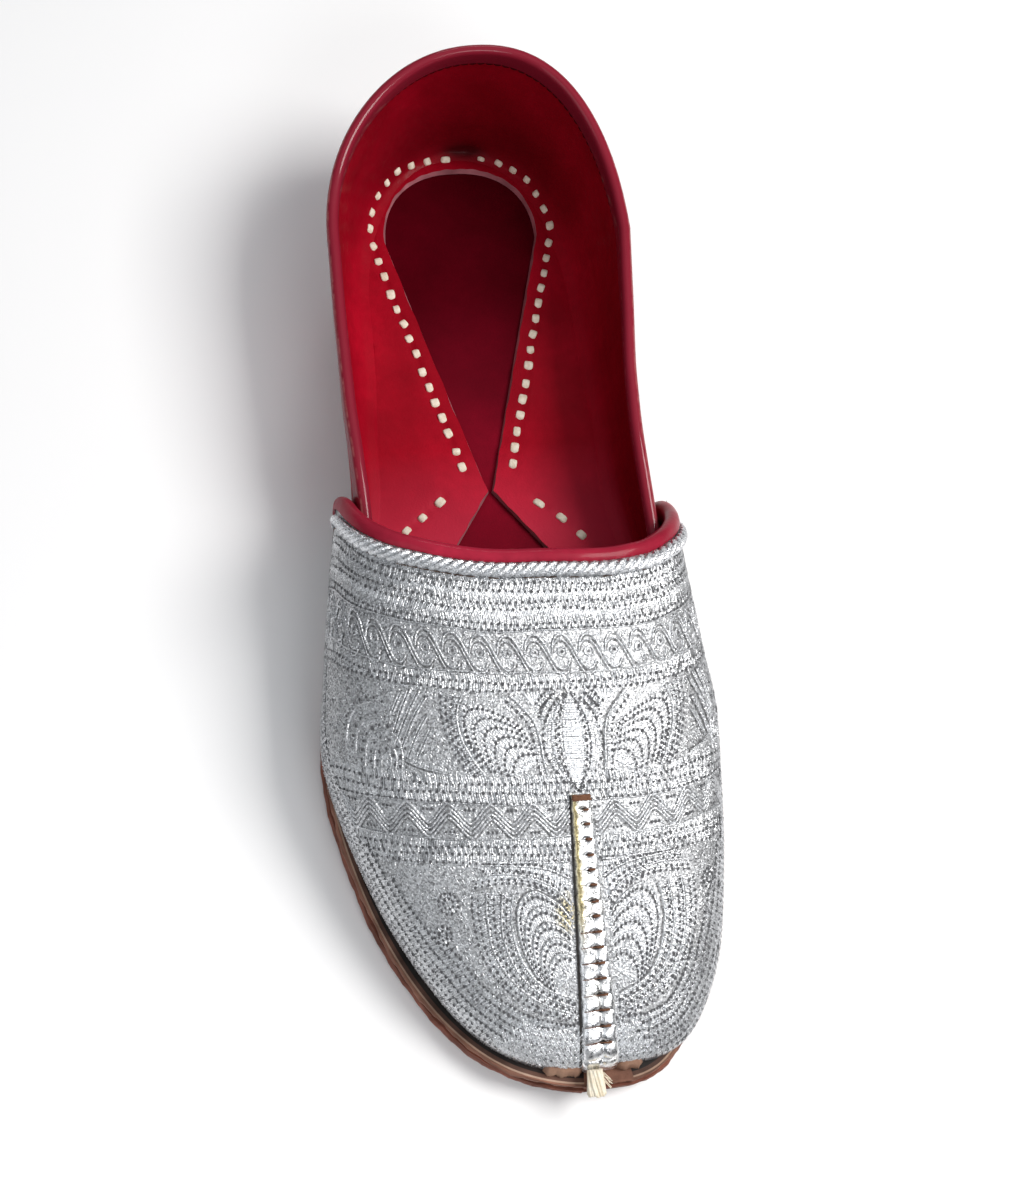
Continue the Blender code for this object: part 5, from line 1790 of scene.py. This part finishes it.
class JUTTI_OT_quarter(Operator):
    """Make the red heel wall with its flange and its white stitches"""

    bl_idname = "jutti.quarter"
    bl_label = "Quarter"

    def execute(self, context):
        settings = context.scene.jutti_leather
        red = dyed_leather("red_leather", settings.red, settings.deep_red, 0.44, 0.30, 0.03)
        cut = raw_leather("cut_edge", settings.cut_edge, scaled(settings.cut_edge, 1.2), 1.0)
        cotton = cotton_thread("white_stitch", settings.cotton, (0.72, 0.60, 0.50))
        places, ahead = flange_stitch_line(settings.stitch_pitch / MM)
        outer = quarter_sheet(quarter_path(60, 150), WALL_STEPS, FLANGE_STEPS)
        up = normals(outer)
        if up[:, -5:, 2].mean() < 0:
            up = -up
        flat = np.clip(up[..., 2], 0, 1) ** 2
        half = ahead * STITCH_LONG / 2
        inner = quarter_inside(outer, up, flat, np.concatenate([places - half, places + half]))
        points, faces, kinds = wall(outer, inner)
        marks = quarter_marks(inner, flat)
        add_piece("quarter_leather", points, faces, [red, red, cut], "quarter", kinds, marks)
        low = slice(WALL_STEPS * 3 // 5, -2)
        leather, facing = inner[:, low].reshape(-1, 3), up[:, low].reshape(-1, 3)
        points, faces = white_stitches(places, ahead, leather, facing, np.random.default_rng(23))
        add_piece("flange_stitches", points, faces, [cotton])
        return {"FINISHED"}


# Bindings, cord, strip and tie

def throat_frame(angles):
    """Places on the vamp's rear edge, and directions up and beyond it."""
    station = throat_station(angles)
    before, after = [vamp_point(throat_station(turn), turn) for turn in (angles - 0.002, angles + 0.002)]
    along = vamp_point(station + 0.2, angles) - vamp_point(station - 0.2, angles)
    up = unit(np.cross(after - before, along))
    beyond = np.cross(unit(after - before), up)
    beyond *= np.sign(beyond[:, 1:2])
    return vamp_point(station, angles), up, beyond


def topline_frame():
    """Places on the quarter's top edge, and directions out and beyond it."""
    path = quarter_path(60, 150)
    sheet = quarter_sheet(path, WALL_STEPS, 1)
    keep = path[1] >= TOPLINE_END
    top = sheet[keep, 0]
    beyond = unit(top - sheet[keep, 4])
    inward = np.column_stack([flange_edge(path)[keep], top[:, 2]]) - top
    return top, -unit(inward - beyond * (inward * beyond).sum(1, keepdims=True)), beyond


# How far round the throat its fold reaches, and the steps round a fold
THROAT_REACH, CROWN_STEPS = radians(112), 13


def fold(edge, up, beyond, half, leg_out, leg_in, drop):
    """Closed sections of a leather strip folded over an edge."""
    middle = edge - up * drop
    radius = half + BINDING
    out = [(radius * np.cos(turn), radius * np.sin(turn)) for turn in np.linspace(0, pi, CROWN_STEPS)]
    lining = [(-radius, -leg_in * 0.5), (-radius + 0.15, -leg_in), (-half, -leg_in), (-half, 0.0)]
    lining += [(0.0, 0.35), (half, 0.0), (half, -leg_out), (radius - 0.15, -leg_out)]
    lining += [(radius, -leg_out * 0.5)]
    return np.stack([middle + up * a + beyond * b for a, b in out + lining], 1)


# Column of the fold's sections along which the roll is rubbed and carries a painted highlight, and how far:
# x, share
WORN_AND_HIGHLIT_COLUMN, WORN_AND_HIGHLIT_SHARE = 3, ((-30.0, 10.0, 30.0), (0.45, 0.10, 0.30))

# Seam under the roll: distance below it, pitch, share of the pitch between stitches, rise, sunk ends, radius
SEAM_BELOW, SEAM_PITCH, SEAM_SPACE, SEAM_RISE, SEAM_SUNK, SEAM_RADIUS = 1.0, 2.1, 0.22, 0.22, 0.1, 0.27


def seam_stitches(top, outward, beyond):
    """Paths of the stitches in the seam below the topline's roll."""
    line = even(top - outward * (QUARTER_WALL + 0.12) - beyond * (TOPLINE_LEG + SEAM_BELOW), SEAM_PITCH)
    share = np.linspace(0, 1, 5)[:, None]
    paths = []
    for start, after in zip(line, line[1:]):
        end = start * SEAM_SPACE + after * (1 - SEAM_SPACE)
        out = outward[np.argmin(((top - start) ** 2).sum(1))]
        paths.append(start * (1 - share) + end * share - out * (SEAM_RISE * np.sin(pi * share) - SEAM_SUNK))
    return paths


class JUTTI_OT_bindings(Operator):
    """Make the folded leather over the throat and the rolled topline with its seam"""

    bl_idname = "jutti.bindings"
    bl_label = "Bindings"

    def execute(self, context):
        settings = context.scene.jutti_leather
        deep, dark_red = scaled(settings.crimson, 0.5), scaled(settings.deep_red, 0.30)
        crimson = dyed_leather("binding_leather", settings.crimson, deep, 0.34, 0.16, 0.12)
        frame_at = throat_frame(np.linspace(-THROAT_REACH, THROAT_REACH, 240))
        sections = fold(*frame_at, VAMP_WALL / 2 + THROAT_GAP, THROAT_LEG_OUT, THROAT_LEG_IN, VAMP_WALL / 2)
        points, faces = loft(sections)
        add_piece("throat_fold", points, faces, [crimson], "throat_binding")
        roll = dyed_leather("roll_leather", scaled(settings.crimson, 0.46), deep, 0.40, 0.20, 0.45)
        top, out, beyond = topline_frame()
        half = QUARTER_WALL / 2
        sections = fold(top, out, beyond, half + GAP, TOPLINE_LEG, TOPLINE_LEG, half)
        points, faces = loft(sections)
        # Rubbed wear and a painted highlight along the roll's crest
        worn = np.zeros(sections.shape[:2])
        worn[:, WORN_AND_HIGHLIT_COLUMN] = np.interp(top[:, 0], *WORN_AND_HIGHLIT_SHARE)
        marks = {"worn": np.concatenate([worn.ravel(), (0.0, 0.0)])}
        add_piece("topline_roll", points, faces, [roll], "topline_binding", marks=marks)
        seam = dyed_leather("seam_thread", dark_red, scaled(dark_red, 0.4), 0.6, 0.4, 0.0)
        paths = seam_stitches(top, out, beyond)
        points, faces = tubes(paths, [SEAM_RADIUS] * len(paths), 5)
        add_piece("topline_seam", points, faces, [seam])
        return {"FINISHED"}


# Throat cord: how far from the vamp's sides it ends, strands, length of a turn, radius of a strand and of
# its lay, width and height of the lay, length over which an end thins and the share left there
CORD_ENDS, STRANDS, STRAND_TURN, STRAND_RADIUS, LAY_RADIUS = (13.0, 15.0), 3, -6.9, 0.90, 0.78
LAY_WIDE, LAY_HIGH, END_TAPER, END_SHARE = 1.15, 0.8, 32.0, 0.34

# Couching thread below the cord, which also stands for the painted shadow under it: first point, pitch and
# length in points of the cord, radius and how often it shows
COUCH_START, COUCH_PITCH, COUCH_LONG, COUCH_RADIUS = 20, 26, 24, 0.15
COUCH_SHARE = ((0, 420, 700, 1400), (0.9, 0.8, 0.4, 0.2))


class JUTTI_OT_cord(Operator):
    """Twist the silver cord that lies against the throat's fold"""

    bl_idname = "jutti.cord"
    bl_label = "Throat cord"

    def execute(self, context):
        chart = vamp_chart()
        along = THROAT_LEG_OUT + GAP + CORD_RADIUS
        left, right = [np.interp(along, chart.along, chart.ends[:, side]) for side in (0, 1)]
        across = np.linspace(left + CORD_ENDS[0], right - CORD_ENDS[1], 1400)
        points, up = chart.put(np.stack([across, np.full(len(across), along)], -1))
        length = lengthwise(points)
        ends = np.minimum(length, length[-1] - length) / END_TAPER
        thick = END_SHARE + (1 - END_SHARE) * np.clip(ends, 0, 1)
        points = points + up * ((CORD_RADIUS + GAP) * thick - 0.25)[:, None]
        side = np.cross(up, unit(np.gradient(points, axis=0)))
        paths = []
        for strand in range(STRANDS):
            turn = 2 * pi * (length / STRAND_TURN + strand / STRANDS)
            lay = side * np.cos(turn)[:, None] * LAY_WIDE + up * np.sin(turn)[:, None] * LAY_HIGH
            paths.append(points + lay * (LAY_RADIUS * thick)[:, None])
        points, faces = tubes(paths, [STRAND_RADIUS * thick] * STRANDS, 8)
        thread = silver_thread(context.scene.jutti_embroidery)
        marks = {"shade": np.ones(len(points)), "grain": np.full(len(points), 0.4)}
        add_piece("silver_cord", points, faces, [thread], "throat_cord",
                  marks=marks, threads=True)
        draw = np.random.default_rng(17)
        # Brown couching thread that also paints the shadow under the cord
        brown = cotton_thread("couching_thread_and_shadow", (0.16, 0.10, 0.07), (0.4, 0.4, 0.4))
        below, up = chart.put(np.stack([across, np.full(len(across), along + CORD_RADIUS + 0.15)], -1))
        below = below + up * 0.25
        starts = np.arange(COUCH_START, len(across) - 60, COUCH_PITCH)
        starts = starts[draw.uniform(0, 1, len(starts)) < np.interp(starts, *COUCH_SHARE)]
        paths = [below[start:start + COUCH_LONG] for start in starts]
        points, faces = tubes(paths, [COUCH_RADIUS] * len(paths), 5)
        add_piece("cord_couching_and_shadow", points, faces, [brown])
        return {"FINISHED"}


# Toe strip: cross stitches, place of its holes across it, up to where it is sewn to both sides, and the
# share of its length by which it turns down over the toe's edge
STRIP_STITCHES, STRIP_HOLE, STRIP_BOTH_SIDES, STRIP_END_SHARE = 17, 0.12, 0.48, -0.0245

# Stitches over its rear end: how many, first place along it, step, reach across it
END_STITCHES, END_FIRST, END_STEP, END_REACH = 4, 0.978, 0.0052, 0.92


def strip_frame(along, across):
    """Points and normals of the toe strip's bed at shares along and across it."""
    station = STRIP_FRONT + (STRIP_REAR - STRIP_FRONT) * along
    middle, half = strip_place(along)
    x = middle + across * half
    ahead = vamp_over(x, station + 0.2) - vamp_over(x, station - 0.2)
    aside = vamp_over(x + 0.2, station) - vamp_over(x - 0.2, station)
    return vamp_over(x, station), unit(np.cross(aside, ahead))


def strip_body(share, across):
    """Points and faces of the puffed strip, and how gilt it is."""
    waver = 0.02 * np.sin(share * 71) + 0.015 * np.sin(share * 131)
    points, up = strip_frame(share + 0 * across, across + waver)
    cell = np.abs(np.sin(pi * share * STRIP_STITCHES))
    hole = np.exp(-((across - STRIP_HOLE) / 0.28) ** 2) * np.maximum(1 - cell, 0) ** 2
    split = np.clip((0.55 - share) / 0.3, 0, 1) * np.exp(-((across - STRIP_HOLE) / 0.10) ** 2)
    puff = (0.62 + 0.38 * cell ** 0.6) * (1 - np.abs(across) ** 8)
    lift = GAP + 0.20 + 0.72 * puff - 0.60 * hole - 0.30 * split
    body, faces, _ = wall(points + up * lift[..., None], points + up * 0.08)
    gilt = np.exp(-((across + 0.72) / 0.26) ** 2) * np.clip((share - 0.38) / 0.2, 0, 1)
    return body, faces, np.tile(gilt.ravel(), 2)


def strip_stitches(draw):
    """Paths and radii of the threads across the strip and over its rear end."""
    paths, radii = [], []
    shares = np.linspace(0, 1, 9)
    for count in range(1, STRIP_STITCHES):
        at = count / STRIP_STITCHES + draw.normal(0, 0.002)
        right = (0.66, 0.15, (-1, 0, 1))
        left = (-0.90, 0.10, (0,))
        for end, radius, spreads in (right, left) if at < STRIP_BOTH_SIDES else (right,):
            reach = STRIP_HOLE + (end - STRIP_HOLE) * shares
            for spread in spreads:
                bed, out = strip_frame(at + 0.0036 * spread * shares, reach)
                paths.append(bed + out * (GAP + 0.40 + 0.42 * np.sin(pi * shares * 0.8))[:, None])
                radii.append(radius * (1.0 - 0.45 * shares))
    for count in range(END_STITCHES):
        reach = np.linspace(-END_REACH, END_REACH, 9) + draw.normal(0, 0.05)
        bed, out = strip_frame(END_FIRST + END_STEP * count + draw.normal(0, 0.0012, 9), reach)
        paths.append(bed + out * (GAP + 0.72 + 0.40 * np.cos(reach * 1.3))[:, None])
        radii.append(0.25)
    return paths, radii


class JUTTI_OT_toe_strip(Operator):
    """Make the silver strip over the toe seam with its cross stitches"""

    bl_idname = "jutti.toe_strip"
    bl_label = "Toe strip"

    def execute(self, context):
        brown = cotton_thread("brown_thread", (0.17, 0.072, 0.036), (0.5, 0.45, 0.4))
        # Painted shade for the dark gap along the strip's edge and in its stitch holes
        dark = dark_gap("strip_painted_shade", (0.008, 0.007, 0.007), (0.035, 0.03, 0.028))
        over = np.linspace(STRIP_END_SHARE, 0, 24, endpoint=False)
        share = np.concatenate([over, np.linspace(0, 1, 420)])[:, None]
        points, faces, gilt = strip_body(share, np.linspace(-1, 1, 33)[None, :])
        foil, marks = foil_leather(), {"gilt": gilt}
        add_piece("strip_leather", points, faces, [foil], "toe_strip", marks=marks)
        share = share[::2]
        # Painted shadow: a dark strip along the toe strip's outer edge
        edge_shadow, out = strip_frame(share + np.zeros((1, 2)), np.array([[-1.14, -1.0]]) - 0.04 * (1 - share))
        edge_shadow = edge_shadow + out * 0.42
        add_piece("strip_edge_shadow", edge_shadow.reshape(-1, 3), grid_faces(len(edge_shadow), 2), [dark])
        points, faces = tubes(*strip_stitches(np.random.default_rng(31)), 6)
        add_piece("strip_thread", points, faces, [brown])
        # Dark rounds of painted shade in the stitch holes
        at = np.arange(1, STRIP_STITCHES) / STRIP_STITCHES
        bed, out = strip_frame(at, np.full(len(at), STRIP_HOLE))
        points, faces = dark_rounds(bed + out * (GAP + 0.34), out, 0.80, 0.50, 10)
        add_piece("strip_holes", points, faces, [dark])
        return {"FINISHED"}


# Tie: yarns, their radius, how wide, high and short the stub is, turn from yarn to yarn in rounds; and
# loose ends, their radius
YARNS, YARN_RADIUS, TIE_WIDE, TIE_HIGH, TIE_SHORT, YARN_TURN = 60, 0.36, 1.22, 0.85, 0.84, 0.381966
LOOSE_ENDS, LOOSE_RADIUS = 7, 0.09


class JUTTI_OT_toe_tie(Operator):
    """Make the stub of twisted cotton at the toe"""

    bl_idname = "jutti.toe_tie"
    bl_label = "Toe tie"

    def execute(self, context):
        white = scaled(context.scene.jutti_leather.cotton, 1.06)
        cotton = cotton_thread("white_cotton", white, (0.85, 0.78, 0.66))
        draw = np.random.default_rng(41)
        ground = float(floor_lift(0.0)) + INSOLE_LEVEL + TIE_RADIUS
        rear = np.array((TIE_X, VAMP_TOE - TIE_RADIUS / 2, ground + TIE_RADIUS))
        run = np.array((TIE_X, TIE_FRONT, ground)) - rear
        share = np.linspace(0, 1, 14)
        side = np.array((1.0, 0, 0))
        up = np.cross(side, unit(run))
        paths = []
        for yarn in range(YARNS):
            turn = 2 * pi * yarn * YARN_TURN + 0.5 * share
            reach = (TIE_RADIUS - 0.30) * np.sqrt((yarn + 0.5) / YARNS) * (0.80 + 0.26 * share)
            sway = 0.10 * np.sin(3 * share + yarn)
            spine = rear + run * (TIE_SHORT * share * draw.normal(1.0, 0.03))[:, None]
            offset = side * (TIE_WIDE * np.cos(turn) * reach + sway)[:, None]
            paths.append(spine + offset + up * (TIE_HIGH * np.sin(turn) * reach)[:, None])
        for _ in range(LOOSE_ENDS):
            start = rear + run * draw.uniform(0.1, 0.35) + side * draw.uniform(1.4, 2.2)
            reach = np.array((draw.uniform(0.8, 1.8), draw.uniform(-2.6, -0.6), 0.0))
            paths.append(start + reach * share[:, None] + up * (0.9 * np.sin(2.2 * share))[:, None])
        points, faces = tubes(paths, [YARN_RADIUS] * YARNS + [LOOSE_RADIUS] * LOOSE_ENDS, 6)
        add_piece("toe_cotton", points, faces, [cotton], "toe_tie", threads=True)
        return {"FINISHED"}


# Stage

# Camera of the photograph: place and aim in the shoe's millimetres, and its roll
CAMERA_PLACE, CAMERA_AIM = np.array((-69.1, -31.6, 390.9)), np.array((-3.0, 113.0, 18.0))
CAMERA_ROLL = radians(17.591398)

# Soft boxes, in metres: name, place, aim, size, power, colour
LAMPS = (
    ("key_light", (0.54, -0.05, 0.74), (0, 0, 0), (0.42, 0.42), 7.9, (1.0, 0.985, 0.96)),
    ("top_light", (0.05, 0.10, 1.0), (0, 0, 0), (0.8, 0.8), 0.45, (1.0, 1.0, 1.0)),
    ("fill_light", (-0.66, -0.36, 0.60), (0, 0, 0), (0.8, 0.8), 2.0, (0.95, 0.98, 1.0)),
    ("front_light", (0.20, -0.72, 0.70), (0, -0.06, 0), (0.42, 0.30), 2.4, (1.0, 1.0, 1.0)),
    ("rear_light", (0.12, 0.80, 0.62), (0, 0.05, 0.03), (0.35, 0.12), 0.9, (1.0, 1.0, 1.0)),
)

# Light from all round: strength at the level and overhead, colour; and half the floor's width in metres
WORLD_LIGHT, WORLD_COLOUR, FLOOR_HALF = (0.06, 0.25), (0.92, 0.94, 1.0, 1.0), 3


def stand(thing, place, aim, roll=0.0):
    """Put a camera or a lamp in the scene and point it."""
    item = bpy.data.objects.new(thing.name, thing)
    bpy.context.scene.collection.objects.link(item)
    ahead = unit(np.array(aim, float) - np.array(place, float))
    right = unit(np.cross(ahead, (0.0, 0.0, 1.0)))
    up = np.cross(right, ahead)
    right, up = np.cos(roll) * right + np.sin(roll) * up, np.cos(roll) * up - np.sin(roll) * right
    turned = Matrix(np.stack([right, up, -ahead], 1).tolist())
    item.matrix_world = Matrix.LocRotScale(place, turned, None)
    return item


def area_light(name, place, aim, size, power, colour):
    """A soft box that points at a place."""
    lamp = bpy.data.lights.new(name, "AREA")
    lamp.shape = "RECTANGLE"
    lamp.size, lamp.size_y = size
    lamp.energy = power
    lamp.color = colour
    stand(lamp, place, aim)


def studio_world(power):
    """Even light from all round, stronger from above."""
    world = bpy.data.worlds.new("studio")
    world.use_nodes = True
    tree = world.node_tree
    place = tree.nodes.new("ShaderNodeTexCoord")
    split = tree.nodes.new("ShaderNodeSeparateXYZ")
    height = tree.nodes.new("ShaderNodeMapRange")
    level, overhead = WORLD_LIGHT
    ends = {"From Min": 0.0, "From Max": 1.0, "To Min": level * power, "To Max": overhead * power}
    for name, value in ends.items():
        height.inputs[name].default_value = value
    tree.links.new(place.outputs["Generated"], split.inputs[0])
    tree.links.new(split.outputs["Z"], height.inputs["Value"])
    background = tree.nodes["Background"]
    background.inputs["Color"].default_value = WORLD_COLOUR
    tree.links.new(height.outputs[0], background.inputs["Strength"])
    return world


class JUTTI_OT_stage(Operator):
    """Lay the floor, set the soft lights and place the camera of the photograph"""

    bl_idname = "jutti.stage"
    bl_label = "Stage"

    def execute(self, context):
        scene = context.scene
        settings = scene.jutti_stage
        finish = Finish("floor_paper", settings.floor, 0.65)
        cloud = finish.noise(120.0, 3)
        finish.set("Base Color", finish.mix(cloud, settings.floor, scaled(settings.floor, 0.97)))
        mesh = bpy.data.meshes.new("floor")
        corners = [(x * FLOOR_HALF, y * FLOOR_HALF, 0) for x, y in ((-1, -1), (1, -1), (1, 1), (-1, 1))]
        mesh.from_pydata(corners, [], [(0, 1, 2, 3)])
        mesh.materials.append(finish.material)
        floor = bpy.data.objects.new("floor", mesh)
        scene.collection.objects.link(floor)
        for name, place, aim, size, power, colour in LAMPS:
            area_light(name, place, aim, size, power * settings.light, colour)
        scene.world = studio_world(settings.light)
        scene.view_settings.view_transform = "Standard"
        lens = bpy.data.cameras.new("camera")
        lens.lens = settings.lens
        lens.sensor_width = 36.0
        lens.clip_start = 0.01
        place, aim = [(point + SHOE_PLACE) * MM for point in (CAMERA_PLACE, CAMERA_AIM)]
        scene.camera = stand(lens, place, aim, CAMERA_ROLL)
        return {"FINISHED"}


class JUTTI_PT_sidebar(Panel):
    """Settings and steps of the jutti's looks"""

    bl_idname = "JUTTI_PT_sidebar"
    bl_label = "Jutti"
    bl_space_type = "VIEW_3D"
    bl_region_type = "UI"
    bl_category = "Jutti"

    def draw(self, context):
        for name in SETTINGS:
            settings = getattr(context.scene, name)
            box = self.layout.box()
            box.label(text=settings.bl_rna.name)
            for key in settings.__annotations__:
                box.prop(settings, key)
        for operator in OPERATORS:
            self.layout.operator(operator.bl_idname)


SETTINGS = {
    "jutti_embroidery": EmbroiderySettings,
    "jutti_leather": LeatherSettings,
    "jutti_sole": SoleSettings,
    "jutti_stage": StageSettings,
}
OPERATORS = (
    JUTTI_OT_stage, JUTTI_OT_sole, JUTTI_OT_insole, JUTTI_OT_quarter, JUTTI_OT_vamp, JUTTI_OT_embroidery,
    JUTTI_OT_bindings, JUTTI_OT_cord, JUTTI_OT_toe_strip, JUTTI_OT_toe_tie,
)


def register():
    for name, settings in SETTINGS.items():
        bpy.utils.register_class(settings)
        setattr(bpy.types.Scene, name, PointerProperty(type=settings))
    for operator in OPERATORS:
        bpy.utils.register_class(operator)
    bpy.utils.register_class(JUTTI_PT_sidebar)


def unregister():
    bpy.utils.unregister_class(JUTTI_PT_sidebar)
    for operator in reversed(OPERATORS):
        bpy.utils.unregister_class(operator)
    for name, settings in SETTINGS.items():
        delattr(bpy.types.Scene, name)
        bpy.utils.unregister_class(settings)


def main():
    register()
    bpy.ops.jutti.stage()
    bpy.ops.jutti.sole()
    bpy.ops.jutti.insole()
    bpy.ops.jutti.quarter()
    bpy.ops.jutti.vamp()
    bpy.ops.jutti.embroidery()
    bpy.ops.jutti.bindings()
    bpy.ops.jutti.cord()
    bpy.ops.jutti.toe_strip()
    bpy.ops.jutti.toe_tie()


if __name__ == "__main__":
    main()
